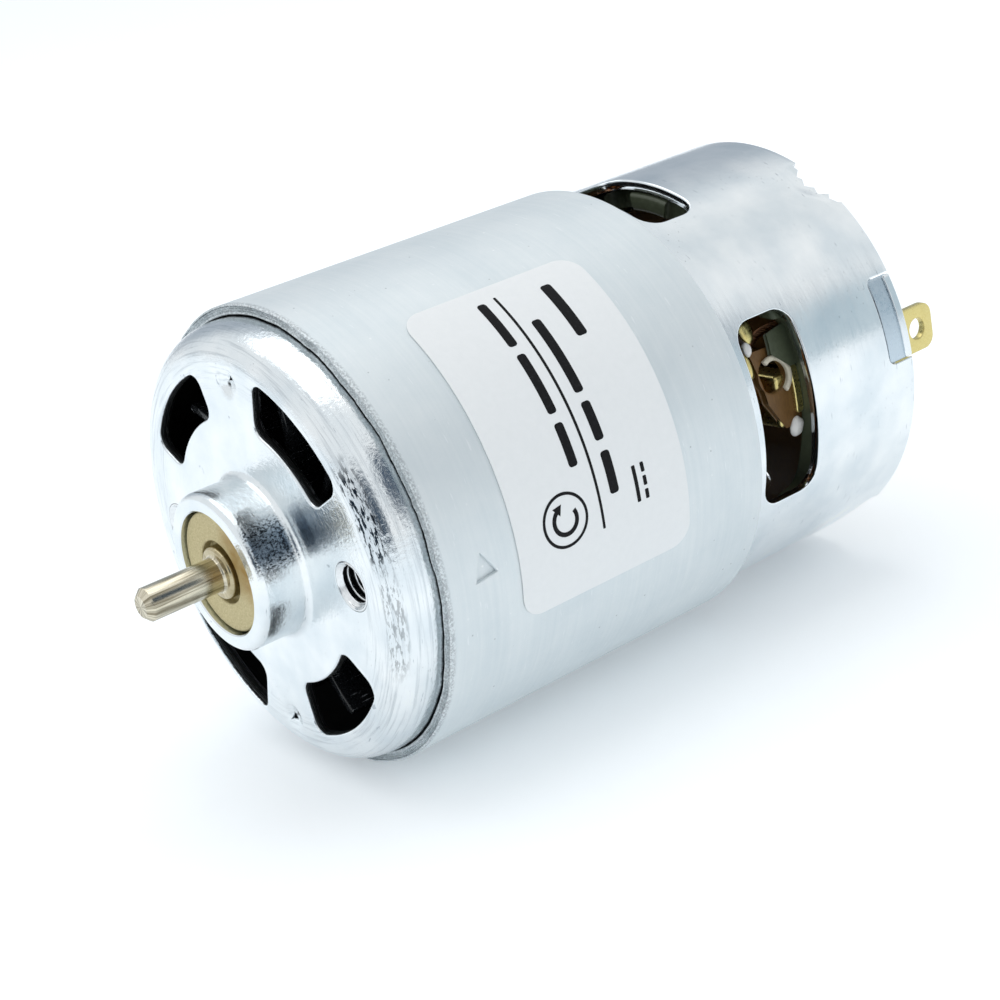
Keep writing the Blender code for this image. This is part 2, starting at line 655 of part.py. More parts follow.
def build_terminal(name, side):
    """A flat tab through the end plate, with a foot behind the card that the pigtail is soldered to."""
    foot_front = CARD_FRONT + CARD_THICKNESS + 0.3
    half = TERMINAL_WIDTH / 2
    corner = 1.3
    shape = [(-half, -foot_front), (-half, -TERMINAL_TIP + corner), (-half + corner, -TERMINAL_TIP),
             (half - corner, -TERMINAL_TIP), (half, -TERMINAL_TIP + corner), (half, -foot_front)]
    mesh = outline_mesh("terminal_" + name, [shape, circle(TERMINAL_HOLE_R, 20, 0, -TERMINAL_HOLE_Y)],
                        -TERMINAL_X - TERMINAL_THICKNESS / 2, -TERMINAL_X + TERMINAL_THICKNESS / 2)
    mesh.transform(Matrix(((0, 0, 1, 0), (1, 0, 0, 0), (0, 1, 0, 0), (0, 0, 0, 1))))
    tab = add("terminal_" + name, mesh, BRASS, turn=side)
    reach = TERMINAL_X + TERMINAL_THICKNESS / 2 - 0.1
    foot = block_mesh("terminal_foot_" + name,
                      (PIGTAIL_HOLE[0] - 1.4, -half + 0.1, -foot_front - TERMINAL_THICKNESS),
                      (reach, FOOT_HEIGHT, -foot_front - 0.05))
    boolean(tab, cutter("terminal_foot_" + name, foot, side), "UNION")

    inner = rounded_rectangle(TERMINAL_THICKNESS + 0.4, TERMINAL_WIDTH + 0.4, 0.2, TERMINAL_X, 0, 1)
    outer = rounded_rectangle(TERMINAL_SLOT[0] - 0.3, TERMINAL_SLOT[1] - 0.3, 0.5, TERMINAL_X, 0, 2)
    name = "terminal_insulator_" + name
    add(name, outline_mesh(name, [outer, inner], PLATE_FRONT - 1, PLATE_FRONT + 2.2), OLIVE_PLASTIC,
        turn=side)


def build_card():
    ring("end_moulding", LINER_R - LINER_WALL, LINER_R, LINER_FRONT, LINER_REAR, FINE, OLIVE_PLASTIC)
    x, y = PIGTAIL_HOLE
    loops = [circle(CARD_R, MEDIUM), circle(CARD_BORE_R, 32), circle(PIGTAIL_HOLE_R, 12, x, y),
             circle(PIGTAIL_HOLE_R, 12, -x, -y)]
    add("brush_card", outline_mesh("brush_card", loops, CARD_FRONT, CARD_FRONT + CARD_THICKNESS), LAMINATE)


def build_end_plate():
    back = PLATE_FRONT + PLATE_THICKNESS
    edge = 0.6
    profile = [(BUSH_R + GAP, -PLATE_FRONT), (PLATE_R, -PLATE_FRONT), (PLATE_R, -back)]
    profile += arc(CUP_R + edge, -back - edge, edge, 90, 180, 3)
    profile += arc(CUP_R - edge, -CUP_REAR + edge, edge, 0, -90, 3)
    profile += [(CUP_HOLE_R, -CUP_REAR), (CUP_HOLE_R, -CUP_REAR + CUP_WALL),
                (BUSH_R + GAP, -CUP_REAR + CUP_WALL)]
    plate = turned("end_plate", profile, FINE, ZINC)
    inner, outer, centre, span = PLATE_VENT
    for side in (0, 180):
        name = "upper" if side == 0 else "lower"
        shape = rounded_sector(inner, outer, centre + side, span, 1.5)
        mesh = outline_mesh("plate_vent_" + name, [shape], PLATE_FRONT - 1, back + 1)
        boolean(plate, cutter("plate_vent_" + name, mesh))
        name = "right" if side == 0 else "left"
        slot = rounded_rectangle(*TERMINAL_SLOT, 0.6, TERMINAL_X, 0, 2)
        mesh = outline_mesh("terminal_slot_" + name, [slot], PLATE_FRONT - 1, back + 1)
        boolean(plate, cutter("terminal_slot_" + name, mesh, side))
        lug = rounded_sector(PLATE_R - 1, PLATE_LUG_R, NOTCH_CENTRE + side, NOTCH_SPAN - 1.4, 0.3)
        mesh = outline_mesh("plate_lug_" + name, [lug], *PLATE_LUG)
        boolean(plate, cutter("plate_lug_" + name, mesh), "UNION")


build_can()
build_flux_ring()
build_label()
build_magnets()
build_bushes()
build_shaft()
build_core()
build_coils()
build_commutator()
build_fan()
build_washers()
build_card()
build_end_plate()
for brush_name, brush_side in (("right", 0), ("left", 180)):
    build_brush(brush_name, brush_side)
    build_spring(brush_name, brush_side)
    build_pigtail(brush_name, brush_side)
    build_terminal(brush_name, brush_side)
for piece in parts.objects:
    if piece.type == "MESH":
        smooth(piece)
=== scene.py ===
"""Looks of the brushed DC motor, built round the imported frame.

Lengths are in millimetres until MM scales them. A point is placed by its radius from the shaft axis, its
angle (0 at the right-hand screw hole, 90 at the top) and its distance behind the front face, which grows
along +Y.
"""

import bmesh
import bpy
import numpy as np
from math import asin, atan2, cos, degrees, hypot, pi, radians, sin, sqrt
from mathutils import Matrix, Vector, noise
from mathutils.bvhtree import BVHTree


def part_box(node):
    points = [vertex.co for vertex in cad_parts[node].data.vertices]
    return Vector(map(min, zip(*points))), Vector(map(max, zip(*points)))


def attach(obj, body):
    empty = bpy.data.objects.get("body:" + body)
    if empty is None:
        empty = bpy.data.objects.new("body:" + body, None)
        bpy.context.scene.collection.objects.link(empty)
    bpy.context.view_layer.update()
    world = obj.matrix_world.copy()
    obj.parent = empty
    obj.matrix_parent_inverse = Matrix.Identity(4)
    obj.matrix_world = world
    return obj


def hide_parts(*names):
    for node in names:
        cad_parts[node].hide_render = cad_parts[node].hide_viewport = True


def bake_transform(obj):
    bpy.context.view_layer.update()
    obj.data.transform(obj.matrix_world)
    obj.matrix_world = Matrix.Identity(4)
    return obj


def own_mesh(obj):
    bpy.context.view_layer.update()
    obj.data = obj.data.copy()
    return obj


MM = 0.001
FINE = 320           # facets round the can and the ring
MEDIUM = 128         # facets round the front bush and the shaft

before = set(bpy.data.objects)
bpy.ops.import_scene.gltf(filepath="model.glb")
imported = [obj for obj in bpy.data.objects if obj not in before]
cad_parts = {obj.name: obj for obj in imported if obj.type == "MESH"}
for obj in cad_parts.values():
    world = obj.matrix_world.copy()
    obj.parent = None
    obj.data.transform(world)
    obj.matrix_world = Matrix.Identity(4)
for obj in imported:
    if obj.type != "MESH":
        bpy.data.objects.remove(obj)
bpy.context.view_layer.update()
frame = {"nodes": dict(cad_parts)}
nodes = frame["nodes"]
for plain in list(bpy.data.materials):       # the frame's flat colours, all of them replaced below
    bpy.data.materials.remove(plain)


def front(node, axis=1):
    """The smallest coordinate of a CAD node along an axis, in millimetres; along Y, its front."""
    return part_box(node)[0][axis] / MM


def rear(node, axis=1):
    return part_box(node)[1][axis] / MM


CAN_R = 21.0
CAN_WALL = 1.0
BOSS_HEIGHT = -front("motor_can")
CAN_REAR = rear("motor_can")
SHOULDER_R = 4.1
FULLNESS = 2.7             # of the shoulder's bend: 2 is a circle, more is fuller
BOSS_R = 7.5
BOSS_BORE_R = 5.87
SCREW_X = 14.5
THREAD_MINOR_R = 1.66
THREAD_MAJOR_R = 2.0
THREAD_PITCH = 0.7
COLLAR_R = 2.3             # the threaded collar that is drawn through each screw hole
COLLAR_REAR = 2.4
RING_FRONT = front("flux_ring")
RING_REAR = rear("flux_ring")
RING_R = rear("flux_ring", 2)
BUSH_FRONT = front("front_bush")
BUSH_REAR = rear("front_bush")
BUSH_R = rear("front_bush", 0)
DIMPLES = ((86.0, 16.5), (-95.0, 16.9))     # angle and radius of the two punch marks on the face
SIDES = (("right", 0), ("left", 180))       # the two brushes, and how far each is turned about the shaft
STUDIO_WHITE = (0.965, 0.985, 1.0)
BACKDROP_WHITE = (1.1, 1.1, 1.1)

# ------------------------------------------------------------------ outlines


def place(radius, turn, back):
    return (radius * cos(radians(turn)), back, radius * sin(radians(turn)))


def flat(radius, turn):
    """A point of a flat outline, whose x runs to the right and whose y runs up."""
    return (radius * cos(radians(turn)), radius * sin(radians(turn)))


def arc(cx, cy, radius, start, end, count):
    """count + 1 points on an arc, from angle start to angle end in degrees."""
    turns = [start + (end - start) * i / count for i in range(count + 1)]
    return [(cx + x, cy + y) for x, y in (flat(radius, turn) for turn in turns)]


def circle(cx, cy, radius, count=48):
    return arc(cx, cy, radius, 0, 360, count)[:-1]


def along(start, end, count):
    """Points from start up to, but without, end."""
    return [(start[0] + (end[0] - start[0]) * i / count, start[1] + (end[1] - start[1]) * i / count)
            for i in range(count)]


def filled(corners, count):
    """A closed outline with count points along each straight side."""
    return [point for a, b in zip(corners, corners[1:] + corners[:1]) for point in along(a, b, count)]


def offset(outline, distance):
    """Move each point of a counter-clockwise outline outwards by distance."""
    moved = []
    for i, (x, y) in enumerate(outline):
        (x0, y0), (x1, y1) = outline[i - 1], outline[(i + 1) % len(outline)]
        normal = Vector((y1 - y0, x0 - x1)).normalized()
        moved.append((x + normal.x * distance, y + normal.y * distance))
    return moved


def rounded_rectangle(width, height, corner, cx=0.0, cy=0.0, steps=6, straight=8):
    """A counter-clockwise outline, with extra points along its straight sides."""
    half_x, half_y = width / 2 - corner, height / 2 - corner
    corners = [arc(cx + sx * half_x, cy + sy * half_y, corner, start, start + 90, steps)
               for sx, sy, start in ((1, 1, 0), (-1, 1, 90), (-1, -1, 180), (1, -1, 270))]
    points = []
    for this, following in zip(corners, corners[1:] + corners[:1]):
        points += this[:-1] + along(this[-1], following[0], straight)
    return points


def rounded_sector(inner, outer, centre, span, corner, steps=6, facet=2.5):
    """An annular sector with rounded corners, counter-clockwise."""
    start, end = centre - span / 2, centre + span / 2
    far, near = outer - corner, inner + corner
    lean_out, lean_in = degrees(asin(corner / far)), degrees(asin(corner / near))
    count = max(3, round(span / facet))
    last_far = arc(*flat(far, end - lean_out), corner, end - lean_out, end + 90, steps)
    last_near = arc(*flat(near, end - lean_in), corner, end + 90, end - lean_in + 180, steps)
    first_near = arc(*flat(near, start + lean_in), corner, start + lean_in + 180, start + 270, steps)
    first_far = arc(*flat(far, start + lean_out), corner, start - 90, start + lean_out, steps)
    points = arc(0, 0, outer, start + lean_out, end - lean_out, count) + last_far[1:-1]
    points += along(last_far[-1], last_near[0], 6) + last_near
    points += arc(0, 0, inner, end - lean_in, start + lean_in, count)[1:-1] + first_near[:-1]
    return points + along(first_near[-1], first_far[0], 6) + first_far[:-1]


# ------------------------------------------------------------------ meshes


def add_object(name, data):
    obj = bpy.data.objects.new(name, data)
    bpy.context.scene.collection.objects.link(obj)
    return obj


def shade(obj, angle=35.0):
    obj.data.shade_smooth()
    obj.data.set_sharp_from_angle(angle=radians(angle))
    return obj


def worked_object(name, work, angle):
    """The object of a bmesh, which is freed."""
    mesh = bpy.data.meshes.new(name)
    work.to_mesh(mesh)
    work.free()
    return shade(add_object(name, mesh), angle)


def mesh_object(name, verts, faces, smooth_angle=35.0):
    mesh = bpy.data.meshes.new(name)
    mesh.from_pydata([tuple(c * MM for c in v) for v in verts], [], faces)
    work = bmesh.new()
    work.from_mesh(mesh)
    bpy.data.meshes.remove(mesh)
    bmesh.ops.recalc_face_normals(work, faces=work.faces)
    return worked_object(name, work, smooth_angle)


def bands(rows, closed=False):
    """Faces between rows of vertex numbers, each row closed in itself."""
    faces = []
    for this, following in list(zip(rows, rows[1:])) + ([(rows[-1], rows[0])] if closed else []):
        for i in range(len(this)):
            j = (i + 1) % len(this)
            face = [this[i], this[j], following[j], following[i]]
            face = [v for k, v in enumerate(face) if v != face[k - 1]]
            if len(face) > 2:
                faces.append(face)
    return faces


def lathe(name, profile, facets, smooth_angle=35.0, centre=(0.0, 0.0), rule=None):
    """A closed profile of (radius, distance behind the face) turned about the shaft axis, or one beside it.

    Points on the axis become one vertex. rule(radius, back, turn) may change a radius along the turn,
    which goes from 0 to 1.
    """
    verts, rows = [], []
    for radius, back in profile:
        if radius < 1e-6:
            rows.append([len(verts)] * facets)
            verts.append((centre[0], back, centre[1]))
            continue
        rows.append(list(range(len(verts), len(verts) + facets)))
        for i in range(facets):
            out = rule(radius, back, i / facets) if rule else radius
            x, y, z = place(out, 360 * i / facets, back)
            verts.append((x + centre[0], y, z + centre[1]))
    return mesh_object(name, verts, bands(rows, profile[0][0] > 1e-6), smooth_angle)


def cut(obj, tool, operation="DIFFERENCE"):
    """Cut a tool out of an object, or join it on, and delete the tool."""
    modifier = obj.modifiers.new("cut", "BOOLEAN")
    modifier.operation = operation
    modifier.object = tool
    modifier.solver = "EXACT"
    graph = bpy.context.evaluated_depsgraph_get()
    old, obj.data = obj.data, bpy.data.meshes.new_from_object(obj.evaluated_get(graph))
    obj.modifiers.clear()
    bpy.data.meshes.remove(old)
    bpy.data.objects.remove(tool, do_unlink=True)


def curve_work(name, kind, runs, bevel, resolution, weld, cyclic=False, **settings):
    """A bevelled curve through runs of points as a bmesh, with its caps welded on."""
    curve = bpy.data.curves.new(name, "CURVE")
    curve.dimensions = kind
    curve.bevel_depth = bevel * MM
    curve.bevel_resolution = resolution
    for key, value in settings.items():
        setattr(curve, key, value)
    for run in runs:
        spline = curve.splines.new("POLY")
        spline.points.add(len(run) - 1)
        for point, position in zip(spline.points, run):
            point.co = (*[c * MM for c in position], 1)
        spline.use_cyclic_u = cyclic
    holder = add_object(name, curve)
    mesh = bpy.data.meshes.new_from_object(holder.evaluated_get(bpy.context.evaluated_depsgraph_get()))
    bpy.data.objects.remove(holder, do_unlink=True)
    work = bmesh.new()
    work.from_mesh(mesh)
    bpy.data.meshes.remove(mesh)
    bmesh.ops.remove_doubles(work, verts=work.verts, dist=weld)
    return work


def flat_piece(name, loops, thickness, edge, matrix=Matrix()):
    """An outline with holes as a plate with rounded edges; matrix places its middle plane, in millimetres."""
    runs = [[(x, y, 0) for x, y in loop] for loop in loops]
    work = curve_work(name, "2D", runs, edge, 2, 1e-6, True, fill_mode="BOTH", offset=-edge * MM,
                      extrude=(thickness / 2 - edge) * MM)
    placed = matrix.copy()
    placed.translation = matrix.translation * MM
    work.transform(placed)
    bmesh.ops.recalc_face_normals(work, faces=work.faces)
    if work.calc_volume(signed=True) < 0:
        bmesh.ops.reverse_faces(work, faces=work.faces)
    return worked_object(name, work, 40)


def wire_mesh(name, runs, radius, ring=3):
    """Round wires through lists of points, in millimetres, as one mesh."""
    work = curve_work(name, "3D", runs, radius, ring, 1e-7, use_fill_caps=True)
    return worked_object(name, work, 60)


def bent_piece(name, loops, thickness, edge, radius, centre, step=0.5):
    """A flat piece of (length round, distance behind the face) outlines, bent round the shaft axis.

    radius is that of its middle surface, and centre the angle where its length is zero.
    """
    obj = flat_piece(name, loops, thickness, edge)
    work = bmesh.new()
    work.from_mesh(obj.data)
    low = min(v.co.x for v in work.verts)
    high = max(v.co.x for v in work.verts)
    for i in range(1, int((high - low) / (step * MM)) + 1):
        geometry = work.verts[:] + work.edges[:] + work.faces[:]
        bmesh.ops.bisect_plane(work, geom=geometry, plane_co=(low + i * step * MM, 0, 0),
                               plane_no=(1, 0, 0), dist=1e-8)
    for vertex in work.verts:
        x, y, z = vertex.co / MM
        vertex.co = Vector(place(radius + z, centre + degrees(x / radius), y)) * MM
    bmesh.ops.recalc_face_normals(work, faces=work.faces)
    work.to_mesh(obj.data)
    work.free()
    return shade(obj, 30)


def box_mesh(name, low, high, bevel, side, segments=3):
    """A box between two corners with rounded edges, turned about the shaft."""
    work = bmesh.new()
    bmesh.ops.create_cube(work, size=1.0)
    for vertex in work.verts:
        vertex.co = Vector([(l + (c + 0.5) * (h - l)) * MM for c, l, h in zip(vertex.co, low, high)])
    bmesh.ops.bevel(work, geom=work.edges[:], offset=bevel * MM, segments=segments, affect="EDGES",
                    profile=0.5)
    work.transform(turned_about(side))
    return worked_object(name, work, 40)


def blob(name, centre, radii, seed):
    """A soft lump, such as a drop of solder or grease."""
    work = bmesh.new()
    bmesh.ops.create_icosphere(work, subdivisions=3, radius=1.0)
    for vertex in work.verts:
        push = 1.0 + 0.16 * noise.noise(vertex.co * 1.3 + Vector((seed, 0, 0)))
        vertex.co = Vector([(c + v * r * push) * MM for c, v, r in zip(centre, vertex.co, radii)])
    return worked_object(name, work, 180)


def turned_about(side):
    return Matrix.Rotation(radians(-side), 4, "Y")


def across(back):
    """Places a flat piece square to the shaft: its x to the right, its y up, its middle at back."""
    return Matrix(((1, 0, 0, 0), (0, 0, -1, back), (0, 1, 0, 0), (0, 0, 0, 1)))


def on_edge(distance, side):
    """Places a flat piece that faces along X: its x runs up, its y back; side turns it about the shaft."""
    return turned_about(side) @ Matrix(((0, 0, 1, distance), (0, 1, 0, 0), (1, 0, 0, 0), (0, 0, 0, 1)))


def punch(name, outline, surface, edge, depth=3.0, above=0.6):
    """A cutter whose mouth is rounded over by edge, as sheet metal is where a punch goes in.

    surface(u, v, down) gives the point that lies down millimetres below the surface at outline (u, v).
    The cutter reaches from above the surface to depth, by default right through the sheet.
    """
    rounding = [(above, edge), (0.0, edge), (-edge * 0.12, edge * 0.55), (-edge * 0.38, edge * 0.22),
                (-edge, 0.0), (-depth, 0.0)]
    verts, rows = [], []
    for height, grow in rounding:
        rows.append(tuple(range(len(verts), len(verts) + len(outline))))
        verts += [surface(u, v, -height) for u, v in offset(outline, grow)]
    return mesh_object(name, verts, bands(rows) + [rows[0], rows[-1]])


def keep_shading(obj, source, tolerance=12.0):
    """Give a cut mesh the smooth normals of the uncut one, wherever it still has that surface."""
    tree = BVHTree.FromPolygons([v.co for v in source.vertices], [p.vertices for p in source.polygons])
    limit = cos(radians(tolerance))
    mesh = obj.data
    found = {}

    def source_normal(index):
        if index not in found:
            spot, _, polygon, _ = tree.find_nearest(mesh.vertices[index].co)
            near = [source.vertices[corner] for corner in source.polygons[polygon].vertices]
            found[index] = sum((v.normal / ((v.co - spot).length + 1e-7) for v in near),
                               Vector()).normalized()
        return found[index]

    current = [Vector(n.vector) for n in mesh.corner_normals]
    for polygon in mesh.polygons:
        for loop in polygon.loop_indices:
            normal = source_normal(mesh.loops[loop].vertex_index)
            if normal.dot(polygon.normal) > limit:
                current[loop] = normal
    mesh.normals_split_custom_set(current)


# ------------------------------------------------------------------ shader values


class Value:
    """A shader value; arithmetic on it adds math nodes."""

    def __init__(self, nodes, socket):
        self.nodes = nodes
        self.socket = socket

    def __add__(self, other):
        return self.nodes.math("ADD", self, other)

    def __sub__(self, other):
        return self.nodes.math("SUBTRACT", self, other)

    def __rsub__(self, other):
        return self.nodes.math("SUBTRACT", other, self)

    def __mul__(self, other):
        return self.nodes.math("MULTIPLY", self, other)


class Nodes:
    """A short way to write the nodes of a material or of the world."""

    def __init__(self, owner, where="Object"):
        self.material = owner
        owner.use_nodes = True
        self.tree = owner.node_tree
        self.where = Value(self, self.add("ShaderNodeTexCoord").outputs[where])

    def add(self, kind, **settings):
        node = self.tree.nodes.new(kind)
        for key, value in settings.items():
            setattr(node, key, value)
        return node

    def plug(self, socket, value):
        if isinstance(value, Value):
            self.tree.links.new(value.socket, socket)
        elif isinstance(value, tuple) and len(value) == 3 and socket.type == "RGBA":
            socket.default_value = (*value, 1)
        else:
            socket.default_value = value

    def result(self, node, inputs, output):
        """Fill a node's inputs, by name or number, and return one of its outputs."""
        for key, value in inputs.items():
            self.plug(node.inputs[key], value)
        return Value(self, node.outputs[output])

    def math(self, operation, a, b=0.0, clamp=False):
        return self.result(self.add("ShaderNodeMath", operation=operation, use_clamp=clamp), {0: a, 1: b}, 0)

    def above(self, value, edge, soft):
        """0 below edge and 1 above it, over a soft step."""
        node = self.add("ShaderNodeMath", operation="MULTIPLY_ADD", use_clamp=True)
        return self.result(node, {0: value, 1: 1 / soft, 2: 0.5 - edge / soft}, 0)

    def below(self, value, edge, soft):
        return 1.0 - self.above(value, edge, soft)

    def stretch(self, scale=(1, 1, 1), turn=(0, 0, 0)):
        """Object coordinates in millimetres, scaled per axis and turned in degrees."""
        return self.result(self.add("ShaderNodeMapping"), {
            "Vector": self.where, "Scale": [s / MM for s in scale],
            "Rotation": [radians(t) for t in turn]}, "Vector")

    def split(self):
        node = self.add("ShaderNodeSeparateXYZ")
        self.plug(node.inputs[0], self.where)
        return [Value(self, node.outputs[axis]) for axis in "XYZ"]

    def polar(self):
        """Radius from the shaft axis, distance behind the face (both in millimetres) and angle in radians."""
        x, y, z = self.split()
        return self.math("SQRT", x * x + z * z) * (1 / MM), y * (1 / MM), self.math("ARCTAN2", z, x)

    def turned(self, around=1.0, out=1.0, back=1.0):
        """Cylindrical coordinates: length round the can, radius and distance behind the face."""
        radius, depth, angle = self.polar()
        join = self.add("ShaderNodeCombineXYZ")
        return self.result(join, {0: angle * (CAN_R * around), 1: radius * out, 2: depth * back}, 0)

    def away(self, turn, out, reach):
        """0 within reach of a spot on the face (angle and radius, in millimetres), 1 outside it."""
        x, _, z = self.split()
        spot_x, spot_z = flat(out, turn)
        x, z = x - spot_x * MM, z - spot_z * MM
        return self.above(self.math("SQRT", x * x + z * z) * (1 / MM), reach, 0.1)

    def noise(self, scale, detail=4.0, rough=0.55, where=None, distortion=0.0):
        return self.result(self.add("ShaderNodeTexNoise"), {
            "Vector": where or self.stretch(), "Scale": scale, "Detail": detail, "Roughness": rough,
            "Distortion": distortion}, "Fac")

    def specks(self, scale, size, where=None):
        """1 at scattered points, fading to 0 at a distance of size in the pattern's own scale."""
        cells = self.result(self.add("ShaderNodeTexVoronoi"), {
            "Vector": where or self.stretch(), "Scale": scale}, "Distance")
        return self.ramp(cells, (0.0, 1.0), (size, 0.0))

    def ramp(self, factor, *stops, mode="LINEAR"):
        """A colour or value ramp of (position, colour or grey) stops."""
        node = self.add("ShaderNodeValToRGB")
        node.color_ramp.interpolation = mode
        elements = node.color_ramp.elements
        while len(elements) < len(stops):
            elements.new(0.5)
        for element, (position, colour) in zip(elements, stops):
            element.position = position
            element.color = (*colour, 1) if isinstance(colour, tuple) else (colour,) * 3 + (1,)
        return self.result(node, {"Fac": factor}, "Color")

    def rise(self, factor, low, high):
        """0 up to low and 1 from high."""
        return self.ramp(factor, (low, 0.0), (high, 1.0))

    def mix(self, factor, a, b, blend="MIX"):
        node = self.add("ShaderNodeMix", data_type="RGBA", blend_type=blend)
        return self.result(node, {"Factor": factor, 6: a, 7: b}, 2)

    def bump(self, height, strength, distance=0.1, under=None):
        """Bump of a height of 0 to 1 over distance millimetres, on top of another bump."""
        inputs = {"Height": height, "Strength": strength, "Distance": distance * MM}
        if under:
            inputs["Normal"] = under
        return self.result(self.add("ShaderNodeBump"), inputs, "Normal")

    def done(self, colour, roughness, metallic=0.0, normal=None, **sockets):
        shader = self.tree.nodes["Principled BSDF"]
        sockets.update(Base_Color=colour, Roughness=roughness, Metallic=metallic)
        if normal:
            sockets["Normal"] = normal
        for key, value in sockets.items():
            self.plug(shader.inputs[key.replace("_", " ")], value)
        return self.material

    def grained(self, colour, grain, smooth, rough, metallic, strength, distance):
        """A surface whose roughness and bump both follow one grain."""
        return self.done(colour, self.ramp(grain, (0.3, smooth), (0.7, rough)), metallic,
                         self.bump(grain, strength, distance))


def new_material(name):
    return Nodes(bpy.data.materials.new(name))


# ------------------------------------------------------------------ materials


def zinc_material():
    """Bright zinc over drawn steel: fine draw lines, dark specks and an orange-peel surface.

    The depth below the outer skin is measured from the middle of the shoulder's bend; from it, the inside of
    the can and the walls of the punched vents get painted shade, with painted highlight bands, one on their
    inner edge.
    """
    n = new_material("zinc_plate")
    radius, back, _ = n.polar()
    over = n.math("MAXIMUM", radius - (CAN_R - SHOULDER_R), 0.0)
    ahead = n.math("MAXIMUM", SHOULDER_R - back, 0.0)
    skin = n.math("SQRT", over * over + ahead * ahead)
    inner = SHOULDER_R - CAN_WALL
    widest = 4.2                              # the ramp below ends just outside the skin
    # darkness through the wall, 1 dark: painted shade, with bands of painted highlight, the first on the
    # inner edge
    wall_shade_and_highlight = ((0.02, 1.0), (0.03, 0.1), (0.19, 0.1), (0.23, 0.97), (0.50, 0.97), (0.55, 0.15),
                    (0.63, 0.15), (0.68, 0.95), (0.78, 0.95), (0.88, 0.0))
    stops = [((inner + height) / widest, dark) for height, dark in wall_shade_and_highlight]
    walls = n.ramp(skin * (1 / widest), (0.0, 1.0), *stops)
    side = n.above(back, 20.0, 1.0)
    rear_inside_shade = n.below(skin, inner + 0.03, 0.02) * (side * n.below(back, CAN_REAR - 3.2, 0.3))
    front_wall_shade = walls * (1.0 - side) * n.above(radius, BOSS_R + 1.5, 0.1)
    pit_shade = n.below(skin, SHOULDER_R - 0.50, 0.08)
    for turn, out in DIMPLES:
        front_wall_shade = front_wall_shade * n.math("MAXIMUM", n.away(turn, out, 1.25), pit_shade)
    # painted shade: the can's inside, the walls of the punched holes and the deepest part of each pit
    painted_shade = n.math("ADD", rear_inside_shade, front_wall_shade, clamp=True)

    lines = n.noise(1.5, 5.0, 0.6, n.turned(around=0.10, out=2.2, back=2.2))
    peel = n.noise(2.1, 4.0, 0.6)
    swell = n.noise(0.20, 3.0, 0.5)
    where = n.rise(n.noise(0.11, 4.0, 0.6), 0.50, 0.62)
    pits = n.specks(1.5, 0.13, n.turned(around=0.7, out=1.5, back=1.5))
    scratches = n.rise(n.noise(1.3, 2.0, 0.4, n.stretch((0.5, 4.0, 0.5), (25, 0, 40))), 0.735, 0.755)
    base = n.mix(n.rise(swell, 0.3, 0.7), (0.69, 0.75, 0.785), (0.86, 0.89, 0.90))
    on_bend = n.above(radius, CAN_R - SHOULDER_R - 0.8, 1.4) * n.below(back, SHOULDER_R + 0.5, 0.5)
    base = n.mix(on_bend * n.rise(lines, 0.50, 0.68) * 0.55, base, (0.40, 0.45, 0.49))
    base = n.mix(scratches * 0.6, base, (0.34, 0.39, 0.44))
    base = n.mix(pits * where * 0.85, base, (0.10, 0.12, 0.14))
    # painted reflections: blue-black patches, speckled at their borders, on the boss and the shoulder
    for mask, around, blue, black in painted_reflection_zones(n):
        speckle = n.noise(2.1, 5.0, 0.68, n.turned(around=around, out=1.8, back=1.8))
        base = n.mix(mask * blue, base, (0.13, 0.21, 0.30))
        dark = n.above(mask, 0.3, 0.5) * n.rise(speckle, 0.515, 0.54)
        base = n.mix(dark * black, base, (0.012, 0.02, 0.03))
    # painted shade: the shaded places take a near-black colour
    base = n.mix(painted_shade, base, (0.045, 0.048, 0.05))
    rough = n.mix(painted_shade, n.ramp(lines, (0.3, 0.10), (0.75, 0.24)), (0.55, 0.55, 0.55))
    quiet = 1.0 - n.above(back, 6.0, 2.0) * 0.85
    under = n.bump(peel * quiet, 0.8, 0.05, n.bump(lines * quiet, 0.6, 0.03))
    return n.done(base, rough, 1.0, n.bump(swell * quiet, 0.5, 0.10, under))


# painted dark reflections on the zinc, blue-black: radius, distance behind the face, angle (low and high of
# each), stretch of the speckle round the can, and how blue and how black they are
REFLECTION_ZONES = (((6.9, 8.0), (-4.4, -0.6), (12, 40), 1.0, 0.7, 0.95),
         ((8.9, 10.9), (-0.2, 0.3), (18, 34), 0.6, 0.8, 0.35),
         ((18.6, 20.2), (-0.2, 2.2), (10, 31), 0.45, 0.32, 1.0),
         ((18.8, 20.2), (-0.2, 2.2), (-20, 4), 0.35, 0.0, 0.45))


def painted_reflection_zones(n):
    """The mask of each painted dark reflection, soft at its borders."""
    radius, back, angle = n.polar()
    turn = angle * (180 / pi)
    for rims, depths, turns, around, blue, black in REFLECTION_ZONES:
        mask = n.above(radius, rims[0], 0.5) * n.below(radius, rims[1], 0.5)
        mask = mask * (n.above(back, depths[0], 0.5) * n.below(back, depths[1], 0.5))
        mask = mask * (n.above(turn, turns[0], 14.0) * n.below(turn, turns[1], 14.0))
        yield mask, around, blue, black


